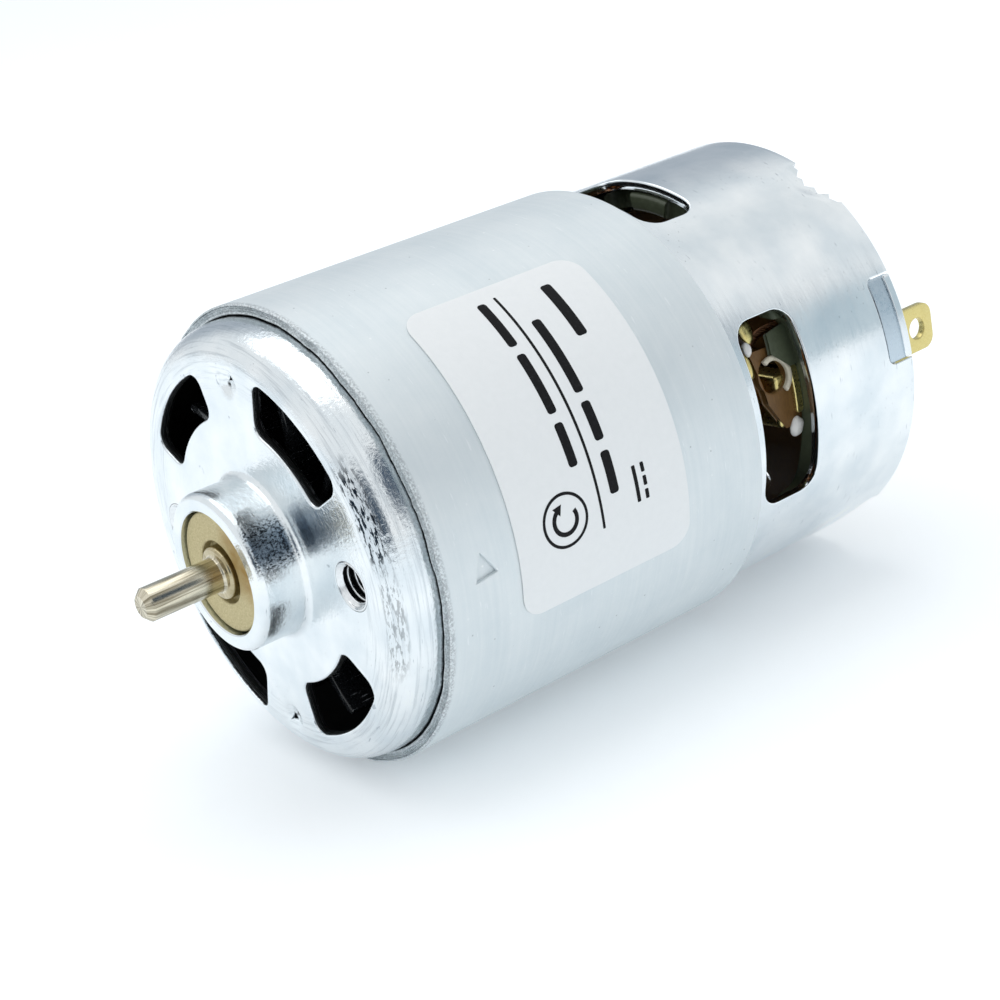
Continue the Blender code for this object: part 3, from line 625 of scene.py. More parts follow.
def ring_material():
    """Satin zinc over rolled steel, nearly matt, with faint scratches, a few specks and small painted glints.
    """
    n = new_material("ring_steel")
    mottle = n.noise(0.16, 4.0, 0.6)
    grain = n.noise(5.0, 3.0, 0.6)
    rolled = n.noise(1.4, 4.0, 0.6, n.turned(0.05, 1.0, 1.6))
    scratch = n.rise(n.noise(0.9, 2.0, 0.5, n.turned(0.5, 1.0, 3.2)), 0.69, 0.73)
    # painted highlights: small bright glints scattered over the satin metal
    painted_glint = n.specks(0.6, 0.09, n.stretch((1, 1, 1), (7, 3, 11))) * n.rise(mottle, 0.5, 0.6)
    base = n.mix(n.rise(mottle * 0.6 + rolled * 0.4, 0.35, 0.65), (0.65, 0.71, 0.735), (0.73, 0.775, 0.79))
    base = n.mix(scratch * 0.4, base, (0.86, 0.89, 0.91))
    base = n.mix(painted_glint, base, (0.97, 0.98, 0.98))
    base = n.mix(n.specks(0.5, 0.06) * 0.8, base, (0.16, 0.19, 0.21))
    radius, back, _ = n.polar()
    edge = n.below(back, RING_FRONT + 0.45, 0.3) * n.rise(grain, 0.42, 0.55)
    base = n.mix(edge * 0.5, base, (0.20, 0.22, 0.24))
    # painted shade: the inner face, in the crevice over the can's shoulder, is made near black
    base = n.mix(n.below(radius, CAN_R + 0.16, 0.06), base, (0.02, 0.022, 0.025))
    rough = n.ramp(grain, (0.3, 0.42), (0.7, 0.55))
    return n.done(base, rough, 0.45, n.bump(rolled, 0.1, 0.02, n.bump(grain, 0.08, 0.02)))


def paper_material():
    n = new_material("label_paper")
    fibre = n.noise(1.5, 5.0, 0.6)
    base = n.mix(fibre, (0.79, 0.81, 0.815), (0.85, 0.865, 0.87))
    return n.grained(base, fibre, 0.42, 0.55, 0.0, 0.06, 0.03)


def ink_material():
    n = new_material("label_ink")
    wear = n.noise(3.5, 4.0, 0.6)
    base = n.mix(n.rise(wear, 0.5, 0.8), (0.003, 0.003, 0.004), (0.02, 0.02, 0.024))
    return n.done(base, n.ramp(wear, (0.3, 0.6), (0.7, 0.8)), Specular_IOR_Level=0.2)


def bronze_material():
    """Oil-soaked sintered bronze: matt, finely speckled, with a brown stain to one side."""
    n = new_material("sintered_bronze")
    grain = n.noise(6.0, 3.0, 0.7)
    cloud = n.noise(0.5, 3.0, 0.5)
    base = n.mix(n.rise(grain, 0.3, 0.7), (0.43, 0.36, 0.17), (0.68, 0.60, 0.36))
    _, _, angle = n.polar()
    to_right = n.math("MULTIPLY", n.math("COSINE", angle - 0.35), 1.0, clamp=True)
    stain = n.rise(to_right, 0.55, 0.95) * n.ramp(cloud, (0.35, 0.3), (0.6, 0.9))
    return n.grained(n.mix(stain, base, (0.34, 0.20, 0.045)), grain, 0.5, 0.7, 0.35, 0.35, 0.03)


def shaft_material():
    """Ground steel of a champagne tint, with long soft streaks and a fine ground finish."""
    n = new_material("shaft_steel")
    fine = n.noise(1.2, 4.0, 0.6, n.turned(0.4, 1.0, 8.0))
    streak = n.noise(1.1, 3.0, 0.5, n.turned(0.16, 0.0, 0.10), 0.8)
    base = n.mix(n.rise(streak, 0.38, 0.60), (0.17, 0.14, 0.08), (0.68, 0.625, 0.49))
    base = n.mix(fine * 0.30, base, (0.80, 0.765, 0.65))
    radius, _, _ = n.polar()
    base = n.mix(n.above(radius, 1.8, 0.2) * 0.7, base, (0.40, 0.33, 0.18))
    return n.grained(base, fine, 0.14, 0.26, 1.0, 0.12, 0.02)


def fan_material():
    """Glossy black nylon with pale painted highlight streaks that run out from the hub."""
    n = new_material("fan_plastic")
    grain = n.noise(3.0, 4.0, 0.6)
    streak = n.noise(1.6, 3.0, 0.6, n.turned(around=9.0, out=0.10, back=0.3))
    base = n.mix(grain, (0.006, 0.007, 0.008), (0.016, 0.018, 0.021))
    # painted highlights: pale streaks that run out from the hub
    base = n.mix(n.ramp(streak, (0.64, 0.0), (0.70, 0.75)), base, (0.55, 0.58, 0.60))
    return n.grained(base, grain, 0.18, 0.34, 0.0, 0.1, 0.03)


def thread_material():
    """Zinc on the thread crests, painted shade in the grooves between them."""
    n = new_material("thread_zinc")
    x, y, z = n.split()
    across_hole = n.math("ABSOLUTE", x) - SCREW_X * MM
    radius = n.math("SQRT", across_hole * across_hole + z * z) * (1 / MM)
    # painted shade in the thread grooves deeper than 0.4 mm
    groove = n.above(radius, THREAD_MINOR_R + 0.10, 0.08) * n.above(y * (1 / MM), 0.40, 0.1)
    grain = n.noise(4.0, 3.0)
    base = n.mix(grain, (0.62, 0.65, 0.67), (0.92, 0.94, 0.95))
    base = n.mix(groove, base, (0.012, 0.013, 0.015))
    return n.done(base, n.mix(groove, (0.18, 0.18, 0.18), (0.6, 0.6, 0.6)), 1.0, n.bump(grain, 0.1, 0.02))


def plastic_material(name, dark, light, rough=0.5, scale=3.0):
    n = new_material(name)
    grain = n.noise(scale, 4.0, 0.6)
    return n.grained(n.mix(grain, dark, light), grain, rough - 0.08, rough + 0.08, 0.0, 0.12, 0.04)


def metal_material(name, dark, light, rough=0.3, around=1.0, back=1.0):
    n = new_material(name)
    grain = n.noise(3.0, 4.0, 0.6, n.turned(around, 1.0, back))
    return n.grained(n.mix(grain, dark, light), grain, rough - 0.07, rough + 0.1, 1.0, 0.12, 0.02)


def lamination_material():
    """Edges of stacked steel sheets, one every half millimetre."""
    n = new_material("lamination_steel")
    _, y, _ = n.split()
    sheet = n.rise(n.math("SINE", y * (2 * pi / (0.5 * MM))), 0.0, 0.35)
    steel = n.mix(n.noise(4.0, 3.0), (0.26, 0.27, 0.29), (0.42, 0.43, 0.45))
    return n.done(n.mix(sheet, (0.05, 0.05, 0.055), steel), 0.45, 0.85, n.bump(sheet, 0.5, 0.05))


def laminate_material():
    n = new_material("brown_laminate")
    fibre = n.noise(2.0, 5.0, 0.65, n.stretch((3, 3, 0.6)))
    base = n.mix(fibre, (0.075, 0.035, 0.008), (0.23, 0.12, 0.035))
    return n.grained(base, fibre, 0.35, 0.55, 0.0, 0.15, 0.04)


ZINC = zinc_material()
RING = ring_material()
PAPER = paper_material()
INK = ink_material()
BRONZE = bronze_material()
SHAFT = shaft_material()
LAMINATION = lamination_material()
LAMINATE = laminate_material()
FERRITE = plastic_material("ferrite", (0.025, 0.025, 0.028), (0.07, 0.07, 0.075), 0.65)
FAN_PLASTIC = fan_material()
GREEN_PLASTIC = plastic_material("insulator_plastic", (0.006, 0.028, 0.016), (0.014, 0.05, 0.03), 0.45)
OLIVE = plastic_material("olive_moulding", (0.045, 0.056, 0.032), (0.10, 0.12, 0.075), 0.42)
BAKELITE = plastic_material("bakelite", (0.05, 0.022, 0.01), (0.13, 0.06, 0.03), 0.4)
NYLON = plastic_material("washer_nylon", (0.70, 0.69, 0.64), (0.85, 0.84, 0.80), 0.45)
CARBON = plastic_material("carbon", (0.015, 0.015, 0.017), (0.06, 0.06, 0.065), 0.6, 8.0)
SPRING = metal_material("spring_steel", (0.38, 0.39, 0.41), (0.60, 0.61, 0.63), 0.3)
COPPER = metal_material("enamelled_copper", (0.36, 0.11, 0.03), (0.62, 0.25, 0.09), 0.3)
BAR_COPPER = metal_material("commutator_copper", (0.50, 0.24, 0.13), (0.78, 0.45, 0.28), 0.28, 0.2, 4.0)
BRASS = metal_material("brass", (0.56, 0.46, 0.16), (0.80, 0.70, 0.33), 0.3)
BRAID = metal_material("copper_braid", (0.42, 0.20, 0.10), (0.74, 0.42, 0.25), 0.45, 6.0, 6.0)
SOLDER = metal_material("solder", (0.62, 0.63, 0.62), (0.86, 0.86, 0.84), 0.25)
THREAD = thread_material()
PLATE_ZINC = metal_material("plate_zinc", (0.66, 0.69, 0.71), (0.86, 0.88, 0.89), 0.24, 0.6, 1.0)
# a darker, bluer copy of the plate's zinc for the lugs: painted shade in the rim's notches
SHADED_LUG_ZINC = metal_material("lug_zinc_shaded", (0.44, 0.53, 0.60), (0.60, 0.68, 0.74), 0.3)
CREAM = plastic_material("cream_nylon", (0.50, 0.45, 0.33), (0.80, 0.76, 0.64), 0.35, 2.0)
GREASE = plastic_material("white_grease", (0.78, 0.77, 0.74), (0.90, 0.89, 0.87), 0.25, 1.2)


# materials, each listed with a slot name of another material
SLOTS = {THREAD: "zinc_plate", PLATE_ZINC: "zinc_plate", SHADED_LUG_ZINC: "zinc_plate", INK: "label_paper",
         SOLDER: "brass", CREAM: "washer_nylon", GREASE: "washer_nylon"}


def finish_piece(obj, material, *replaced, body="housing"):
    obj.data.materials.clear()
    obj.data.materials.append(material)
    if body:                                  # a piece that runs between two bodies rides on neither
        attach(obj, body)
    if replaced:
        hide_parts(*replaced)
    SLOTS.get(material, material.name)


# ------------------------------------------------------------------ can

VENT_CORNER_R = 1.3
VENTS = ((51.0, 43.0, 12.8, 17.9), (127.3, 46.0, 13.0, 17.2),            # centre angle, span and radii
         (-131.0, 42.0, 13.3, 18.7), (-58.0, 48.0, 12.5, 17.6))
WINDOWS = ((1.9, 51.0, 42.85, 49.9), (79.9, 34.2, 42.7, 49.0))           # angle, span, front, rear
WINDOW_CORNER_R = 2.0
NOTCH_CENTRE = 12.8
NOTCH_SPAN = 24.0
NOTCH_DEPTH = 3.2


def shoulder_depth(radius):
    """How far behind the front face the outside of the can is at a radius."""
    over = min(1.0, max(0.0, radius - (CAN_R - SHOULDER_R)) / SHOULDER_R)
    return SHOULDER_R * (1 - (1 - over ** FULLNESS) ** (1 / FULLNESS))


def full_bend(steps):
    """The outside of the shoulder, from the face to the side, a little fuller than a quarter circle."""
    points = []
    for i in range(steps + 1):
        over, ahead = (max(0.0, c) ** (2 / FULLNESS) for c in flat(1, 90 - 90 * i / steps))
        points.append((CAN_R - SHOULDER_R * (1 - over), SHOULDER_R * (1 - ahead)))
    return points


def face_surface(u, v, down):
    return (u, shoulder_depth(hypot(u, v)) + down, v)


def turned_surface(angle, out_at):
    """A punch direction square to the shaft: u goes round it, v back along it, down towards it."""
    a = radians(angle)

    def surface(u, v, down):
        out = out_at(u, down)
        return (out * cos(a) - u * sin(a), v, out * sin(a) + u * cos(a))
    return surface


def can_out(u, down):
    """The can's surface at u from the middle of a hole, and flat ends for the punch above and below it."""
    if down < -0.5:
        return CAN_R + 1.0
    return CAN_R - down if down > 2.0 else sqrt(CAN_R ** 2 - u * u) - down


def chord(span, radius=CAN_R):
    return 2 * radius * sin(radians(span / 2))


def can_profile():
    """Outside of the drawn cup from the boss lip to the rim, then back along the inside."""
    inside = CAN_R - CAN_WALL
    straight = CAN_R - SHOULDER_R
    lip_r, foot_r = 0.7, 0.7
    points = [(BOSS_BORE_R, -BOSS_HEIGHT + 0.12), (BOSS_BORE_R + 0.12, -BOSS_HEIGHT)]
    points += arc(BOSS_R - lip_r, -BOSS_HEIGHT + lip_r, lip_r, -90, 0, 10)
    points += along((BOSS_R, -BOSS_HEIGHT + lip_r + 0.4), (BOSS_R, -foot_r), 3)
    points += arc(BOSS_R + foot_r, -foot_r, foot_r, 180, 90, 8)
    points += along((BOSS_R + foot_r + 0.15, 0), (straight, 0), 36)
    points += full_bend(44)
    points += along((CAN_R, SHOULDER_R + 0.4), (CAN_R, RING_REAR), 20)
    points += along((CAN_R, RING_REAR), (CAN_R, CAN_REAR - 0.15), 44)
    points += arc(CAN_R - 0.15, CAN_REAR - 0.15, 0.15, 0, 90, 3)
    points += along((inside, CAN_REAR), (inside, SHOULDER_R), 24)
    points += arc(straight, SHOULDER_R, SHOULDER_R - CAN_WALL, 0, -90, 14)
    points += along((straight - 0.3, CAN_WALL), (BOSS_BORE_R, CAN_WALL), 8)
    points += [(BOSS_BORE_R, CAN_WALL), (BOSS_BORE_R, -1.5)]
    return points


TORN_RIM = ((-3.9, 64.6), (-3.3, 63.1), (-2.5, 62.75), (-2.0, 63.15), (-1.4, 62.2), (-0.5, 62.6),
            (0.2, 61.9), (1.1, 62.5), (1.6, 62.2), (2.3, 63.0), (3.0, 62.9), (3.6, 64.6))
STAKES = (57.0, 123.0, -57.0, -123.0)       # where the rim was staked over the end plate


def dent(obj, spots):
    """Push the outer surface in at spots of (position, radius, depth, direction)."""
    mesh = obj.data
    co = np.empty(len(mesh.vertices) * 3)
    mesh.vertices.foreach_get("co", co)
    co = co.reshape(-1, 3)
    for position, radius, depth, direction in spots:
        gap = np.linalg.norm(co / MM - np.array(position), axis=1) / radius
        amount = np.where(gap < 1, (1 - gap ** 2) ** 2, 0) * depth
        co += amount[:, None] * np.array(direction) * MM
    mesh.vertices.foreach_set("co", co.ravel())
    mesh.update()


def build_can():
    can = lathe("can_shell", can_profile(), FINE)
    spots = []
    for angle, radius in DIMPLES:
        spots.append((place(radius, angle, 0.1), 1.9, 0.42, (0, 1, 0)))
        spots.append((place(radius - 0.4, angle + 1.5, 0.4), 0.7, 0.22, (0, 1, 0)))
    for angle in STAKES:
        for lean, back, size, depth in ((-5.5, 0.9, 1.5, 0.20), (0.0, 1.5, 2.4, 0.42), (5.0, 1.0, 1.7, 0.26)):
            spot = place(CAN_R, angle + lean, CAN_REAR - back)
            spots.append((spot, size, depth, [-c for c in place(1, angle, 0)]))
    dent(can, spots)
    source = can.data.copy()
    for centre, span, inner, outer in VENTS:
        shape = rounded_sector(inner, outer, centre, span, VENT_CORNER_R)
        cut(can, punch("vent", shape, face_surface, 0.2))
    for _, side in SIDES:
        hole = arc(SCREW_X * cos(radians(side)), 0, COLLAR_R, 2.3, 362.3, 53)[:-1]
        cut(can, punch("screw", hole, face_surface, 0.05))
        for centre, span, first, last in WINDOWS:
            shape = rounded_rectangle(chord(span), last - first, WINDOW_CORNER_R, 0, (first + last) / 2,
                                      straight=24)
            cut(can, punch("window", shape, turned_surface(centre + side, can_out), 0.18, 6.0))
        shape = rounded_rectangle(chord(NOTCH_SPAN), NOTCH_DEPTH * 2, 0.8, 0, CAN_REAR, straight=16)
        cut(can, punch("notch", shape, turned_surface(NOTCH_CENTRE + side, can_out), 0.12))
    for angle in STAKES:
        cut(can, punch("torn", TORN_RIM, turned_surface(angle, can_out), 0.05))
    for angle, radius in DIMPLES:
        x, z = flat(radius + 0.35, angle - 1.2)
        corners = [(x - 0.55, z - 0.25), (x + 0.65, z - 0.05), (x + 0.15, z + 0.70)]
        cut(can, punch("pick", corners, face_surface, 0.04, 0.90))
    keep_shading(can, source)
    finish_piece(can, ZINC, "motor_can")


def build_screw_collars():
    """M4 threads in a collar behind each screw hole, with a chamfered mouth."""
    chamfer_r = 2.12
    fine = 0.035
    rows = int((COLLAR_REAR - 0.02) / fine)
    profile = [(COLLAR_R - 0.03, 0.03), (COLLAR_R - 0.09, -0.01)]
    profile += [(THREAD_MINOR_R, -0.01 + (COLLAR_REAR + 0.01) * i / rows) for i in range(rows + 1)]
    profile += [(COLLAR_R - 0.03, COLLAR_REAR)]

    def thread(radius, back, turn):
        if radius > THREAD_MINOR_R:
            return radius
        phase = (back / THREAD_PITCH - turn) % 1.0
        groove = max(0.0, 1.0 - abs(2 * phase - 1) * 1.25)
        cut_r = THREAD_MINOR_R + (THREAD_MAJOR_R - THREAD_MINOR_R) * min(1.0, groove * 1.3)
        return max(cut_r, chamfer_r - max(back, 0.0))
    for name, x in (("right", SCREW_X), ("left", -SCREW_X)):
        collar = lathe("screw_collar_" + name, profile, 72, 50, (x, 0.0), thread)
        finish_piece(collar, THREAD)


# ------------------------------------------------------------------ flux ring and label

SEAM_ANGLE = -135.0


def ring_out(_, down):
    return RING_R - down


def build_ring():
    inner = CAN_R + 0.10
    edge = 0.12
    profile = [(inner, RING_FRONT + edge), (inner + edge, RING_FRONT)]
    for groove in (0.32, 0.56, 0.78):
        profile += [(inner + groove - 0.07, RING_FRONT), (inner + groove, RING_FRONT + 0.16)]
    profile.append((inner + 0.84, RING_FRONT))
    profile += arc(RING_R - edge, RING_FRONT + edge, edge, -90, 0, 4)
    profile += along((RING_R, RING_FRONT + 0.3), (RING_R, RING_REAR - edge), 70)
    profile += arc(RING_R - edge, RING_REAR - edge, edge, 0, 90, 4)
    profile += along((inner, RING_REAR), (inner, RING_FRONT + edge), 12)
    ring = lathe("flux_ring_sleeve", profile, FINE)
    mesh = ring.data
    for vertex in mesh.vertices:
        x, y, z = vertex.co / MM
        if y < RING_FRONT + 0.35:
            angle = atan2(z, x)
            ragged = noise.noise(Vector((cos(angle) * 9, sin(angle) * 9, y * 2)))
            fine = noise.noise(Vector((cos(angle) * 40, sin(angle) * 40, y * 6)))
            vertex.co.y += (0.16 * ragged + 0.06 * fine) * MM
    mesh.update()
    source = mesh.copy()
    slit = rounded_rectangle(0.4, RING_REAR - RING_FRONT + 4, 0.15, 0, (RING_FRONT + RING_REAR) / 2)
    cut(ring, punch("seam", slit, turned_surface(SEAM_ANGLE, ring_out), 0.1, 1.05))
    nick = filled([(-1.2, 7.5), (1.3, 8.4), (-0.9, 9.8)], 6)
    cut(ring, punch("nick", nick, turned_surface(0, ring_out), 0.18, 0.42))
    keep_shading(ring, source)
    finish_piece(ring, RING, "flux_ring")


LABEL_FRONT, LABEL_REAR = front("ring_label"), rear("ring_label")
LABEL_CENTRE = 21.2
LABEL_SPAN = 78.4
LABEL_CORNER_R = 2.2
LABEL_MIDDLE_R = RING_R + 0.09


def build_label():
    length = RING_R * radians(LABEL_SPAN)
    outline = rounded_rectangle(length, LABEL_REAR - LABEL_FRONT, LABEL_CORNER_R, 0,
                                (LABEL_FRONT + LABEL_REAR) / 2, steps=12)
    label = bent_piece("label_sheet", [outline], 0.12, 0.04, LABEL_MIDDLE_R, LABEL_CENTRE)
    finish_piece(label, PAPER, "ring_label")


def bar(start, end, middle, height, corner):
    """One printed bar along the label, from start to end of its length."""
    return rounded_rectangle(end - start, height, corner, (start + end) / 2, middle, 4, 4)


def turning_arrow(cx, cy, radius, width):
    """The sign for the sense of rotation: three quarters of a circle that ends in an arrowhead."""
    head, end = 2.1 * width, 320
    outer = arc(cx, cy, radius + width / 2, 60, end, 30)
    inner = arc(cx, cy, radius - width / 2, end, 60, 30)
    point = (radius, head)                    # out from the centre, and on along the circle
    corners = ((radius + head * 0.6, 0), point, (radius - head * 0.6, 0))
    out, forward = flat(1, end), flat(1, end + 90)
    arrow = [(cx + a * out[0] + b * forward[0], cy + a * out[1] + b * forward[1]) for a, b in corners]
    return outer + arrow + inner


def build_print():
    """Plain printed signs, with no lettering: bars, a rule, the direct-current sign and a turning arrow."""
    loops = [bar(-9.8, 13.6, 21.6, 0.28, 0.08)]
    for middle, height, words in ((19.9, 0.95, ((-3.4, 0.6), (1.5, 7.4), (8.3, 13.4))),
                                  (23.4, 1.0, ((-7.1, -3.2), (-2.2, 1.4), (2.3, 9.9))),
                                  (26.8, 1.15, ((6.9, 12.9),))):
        loops += [bar(start, end, middle, height, 0.3) for start, end in words]
    loops.append(bar(-8.9, -5.5, 25.9, 0.4, 0.1))                       # direct current: a line over dashes
    loops += [bar(-8.9 + 1.25 * i, -8.0 + 1.25 * i, 26.9, 0.4, 0.1) for i in range(3)]
    cx, cy = -7.5, 17.6
    loops += [circle(cx, cy, 2.5, 60), circle(cx, cy, 2.22, 60)]
    loops.append(turning_arrow(cx, cy, 1.25, 0.42))
    ink = bent_piece("label_print", loops, 0.03, 0.008, LABEL_MIDDLE_R + 0.065, LABEL_CENTRE)
    finish_piece(ink, INK)


# ------------------------------------------------------------------ bushes and shaft


def build_bush():
    bore = 2.55
    sink = 3.0
    bottom = BUSH_FRONT + 0.9
    profile = [(bore, bottom), (sink - 0.1, bottom), (sink, bottom - 0.12), (sink, BUSH_FRONT + 0.08),
               (sink + 0.08, BUSH_FRONT)]
    profile += along((sink + 0.3, BUSH_FRONT), (BUSH_R - 0.25, BUSH_FRONT), 6)
    profile += arc(BUSH_R - 0.25, BUSH_FRONT + 0.25, 0.25, -90, 0, 6)
    profile += [(BUSH_R, BUSH_REAR), (bore, BUSH_REAR)]
    finish_piece(lathe("bush_front", profile, MEDIUM), BRONZE, "front_bush")


def build_shaft():
    tip = front("shaft")
    tip_r, thick_r, chamfer = 1.585, 2.5, 0.5
    step = -4.75
    fillet = 0.3
    profile = [(0, tip), (tip_r - chamfer - 0.08, tip)]
    profile += arc(tip_r - chamfer - 0.08, tip + 0.08, 0.08, -90, -45, 2)
    profile += arc(tip_r - 0.12, tip + chamfer + 0.12, 0.12, -45, 0, 3)
    profile += along((tip_r, tip + chamfer + 0.4), (tip_r, step - fillet), 12)
    profile += arc(tip_r + fillet, step - fillet, fillet, 180, 90, 5)
    profile += arc(thick_r - 0.35, step + 0.35, 0.35, -90, 0, 6)
    profile += along((thick_r, step + 0.6), (thick_r, rear("shaft") - 0.3), 12)
    profile += [(thick_r - 0.3, rear("shaft")), (0, rear("shaft"))]
    finish_piece(lathe("shaft_turned", profile, MEDIUM), SHAFT, "shaft", body="rotor")


# ------------------------------------------------------------------ rotor pieces

POLES = 5
FAN_BLADES = 12


def build_fan():
    """Hub, web and twelve swept blades, joined to one moulding with softened edges."""
    hub_r, tip_r, sweep = 4.6, 16.8, 16.0
    pitch = 360 / FAN_BLADES
    fan_front, fan_rear, web = front("cooling_fan"), rear("cooling_fan"), 0.9
    points = []
    for blade in range(FAN_BLADES):
        root = pitch * blade
        rims = []
        for side in (-1, 1):
            rim = []
            for t in (i / 8 for i in range(9)):
                radius = hub_r + (tip_r - 0.3 - hub_r) * t
                rim.append(flat(radius, root + degrees(side * 0.46 / radius) + sweep * t ** 1.5))
            rims.append(rim)
        points += rims[0] + [flat(tip_r, root + sweep)] + rims[1][::-1] + [flat(hub_r, root + pitch / 2)]
    bore = circle(0, 0, 2.6, 48)
    height = fan_rear - web / 2 - fan_front
    fan = flat_piece("fan_wheel", [points, bore], height, 0.14, across(fan_front + height / 2))
    rim = [(3.8, fan_rear - web), (11.9, fan_rear - web), (12.0, fan_rear - web + 0.1),
           (12.0, fan_rear - 0.1), (11.9, fan_rear), (3.8, fan_rear)]
    cut(fan, lathe("fan_web", rim, 96), "UNION")
    shade(fan, 30)
    finish_piece(fan, FAN_PLASTIC, "cooling_fan", body="rotor")


def build_coils():
    """Each coil is wound turn by turn round its tooth: ridges of wire on a swelling bundle."""
    core_front, core_rear = front("armature_core"), rear("armature_core")
    middle = (core_front + core_rear) / 2
    bore_half, bore_long = 2.3, (core_rear - core_front) / 2 + 1.1
    foot, crown, pitch = 6.5, 11.1, 0.46
    turns = int((crown - foot) / pitch)
    around = rounded_rectangle(2, 2, 0.5, steps=5, straight=3)        # one turn, stretched to the bundle

    def swell(height):
        """How thick the bundle is at a radius from the shaft, in the slot and past the core's ends."""
        t = (height - foot) / (crown - foot)
        return 1.8 + 1.8 * sin(pi * min(1.0, t * 1.25)) - 1.4 * t, 2.2 + 1.2 * sin(pi * t)

    section = [(foot, 0.0)]
    for i in range(turns * 4):
        section.append((foot + (crown - foot) * i / (turns * 4), 1.0 + 0.16 * sin(pi * (i % 4) / 4)))
    section.append((crown, 0.0))
    for pole in range(POLES):
        rows, verts = [], []
        for height, amount in section:
            side, end = (amount * most for most in swell(height))
            rows.append(range(len(verts), len(verts) + len(around)))
            for u, v in around:
                spot = Vector((height, middle + v * (bore_long + end), u * (bore_half + side)))
                verts.append(turned_about(360 / POLES * pole) @ spot)
        name = "coil_%d" % (pole + 1)
        finish_piece(mesh_object("wound_" + name, verts, bands(rows, True), 50), COPPER, name, body="rotor")


# ------------------------------------------------------------------ brush gear and end moulding

BRUSH_BACK = 51.6
TERMINAL_X = 14.5
JOINT_X, JOINT_Z = 12.0, 5.2               # where the pigtail passes the card and is soldered to its foot


def build_brush_box(name, side):
    """A folded brass box with a closed outer end, a slot for the pigtail and a seam underneath."""
    half_z, half_y, inner, outer, wall = 2.65, 3.15, 6.5, 17.3, 0.5
    low = (inner, BRUSH_BACK - half_y, -half_z)
    high = (outer, BRUSH_BACK + half_y, half_z)
    box = box_mesh("brush_holder_" + name, low, high, 0.45, side)
    cut(box, box_mesh("bore", (inner - 1, low[1] + wall, low[2] + wall),
                      (outer - wall, high[1] - wall, high[2] - wall), 0.15, side))
    cut(box, box_mesh("slot", (8.4, BRUSH_BACK - 0.95, 1.8), (15.6, BRUSH_BACK + 0.95, 4.0), 0.5, side))
    cut(box, box_mesh("seam", (inner - 1, BRUSH_BACK + 0.4, -4.0), (outer - 1.5, BRUSH_BACK + 0.55, -1.8),
                      0.03, side, 1))
    shade(box, 35)
    finish_piece(box, BRASS, "brush_box_" + name)


def build_spring(name, side):
    """The brush spring, with a closed turn at each end."""
    wire, radius, turns, per_turn = 0.16, 1.45, 5, 28
    start, end = 11.66, 16.54
    points = []
    for i in range(turns * per_turn + 1):
        t = i / (turns * per_turn)
        eased = min(1.0, max(0.0, (t - 0.12) / 0.76))
        pitch_part = 0.06 * min(t, 0.12) / 0.12 + 0.88 * eased + 0.06 * max(0.0, t - 0.88) / 0.12
        angle = 2 * pi * i / per_turn
        point = Vector((start + (end - start) * pitch_part, BRUSH_BACK + radius * sin(angle),
                        radius * cos(angle)))
        points.append(turned_about(side) @ point)
    spring = wire_mesh("coil_spring_" + name, [points], wire)
    finish_piece(spring, SPRING, "brush_spring_" + name)
    sign = 1 if side == 0 else -1
    "brush_slide_" + name
    0.0168 * sign
    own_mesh(spring)


def build_pigtail(name, side):
    """Six copper strands laid round each other, from the brush through the card to the terminal's foot."""
    start = Vector((10.4, BRUSH_BACK, 2.05))
    out = Vector((10.4, BRUSH_BACK, 5.4))
    back = Vector((JOINT_X, 53.4, 5.6))
    end = Vector((JOINT_X, 56.7, JOINT_Z))
    steps, strands, lay = 36, 6, 3.2
    centre = []
    for i in range(steps + 1):
        t = i / steps
        u = 1 - t
        centre.append(start * u ** 3 + out * 3 * u * u * t + back * 3 * u * t * t + end * t ** 3)
    runs = []
    for strand in range(strands):
        run = []
        for i, point in enumerate(centre):
            ahead = centre[min(i + 1, steps)] - centre[max(i - 1, 0)]
            side_a = ahead.cross(Vector((0.3, 0.2, 1))).normalized()
            side_b = ahead.normalized().cross(side_a)
            angle = 2 * pi * (strand / strands + lay * i / steps)
            offset_by = (side_a * cos(angle) + side_b * sin(angle)) * 0.27
            run.append(turned_about(side) @ (point + offset_by))
        runs.append(run)
    tail = wire_mesh("braid_" + name, runs, 0.145, 2)
    finish_piece(tail, BRAID, "brush_pigtail_" + name, body=None)
    first = turned_about(side) @ (start + Vector((0, 0, 0.6)))
    last = turned_about(side) @ Vector((JOINT_X, 54.6, 5.4))
    "brush_" + name
    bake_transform(tail)


def build_terminal(name, side):
    """A stamped brass tab with a foot that the pigtail is soldered to, in a moulded sleeve."""
    half, foot_front, tip, corner = 2.4, 56.9, 73.5, 1.3
    shape = [(-half, foot_front)] + along((half, foot_front), (half, tip - corner), 4)
    for middle, start in ((half - corner, 0), (corner - half, 90)):
        shape += arc(middle, tip - corner, corner, start, start + 90, 8)
    tab = flat_piece("terminal_tab_" + name, [shape, circle(0, 71.2, 1.1, 40)], 0.8, 0.1,
                     on_edge(TERMINAL_X, side))
    finish_piece(tab, BRASS, "terminal_" + name)
    outline = rounded_rectangle(4.1, 9.3, 0.5, 12.7, 2.35)
    foot = flat_piece("terminal_foot_" + name, [outline, circle(JOINT_X, JOINT_Z, 0.7, 24)], 0.75, 0.08,
                      turned_about(side) @ across(57.35))
    finish_piece(foot, BRASS)
    spot = turned_about(side) @ Vector((JOINT_X, 57.95, JOINT_Z))
    finish_piece(blob("solder_drop_" + name, spot, (1.15, 0.55, 1.15), 3.1 + side), SOLDER)
    outline = rounded_rectangle(3.1, 6.7, 0.5, TERMINAL_X, 0, 5, 2)
    opening = rounded_rectangle(1.2, 5.2, 0.2, TERMINAL_X, 0, 3, 2)
    sleeve = flat_piece("terminal_sleeve_" + name, [outline, opening], 3.2, 0.18,
                        turned_about(side) @ across(61.8))
    finish_piece(sleeve, OLIVE, "terminal_insulator_" + name)


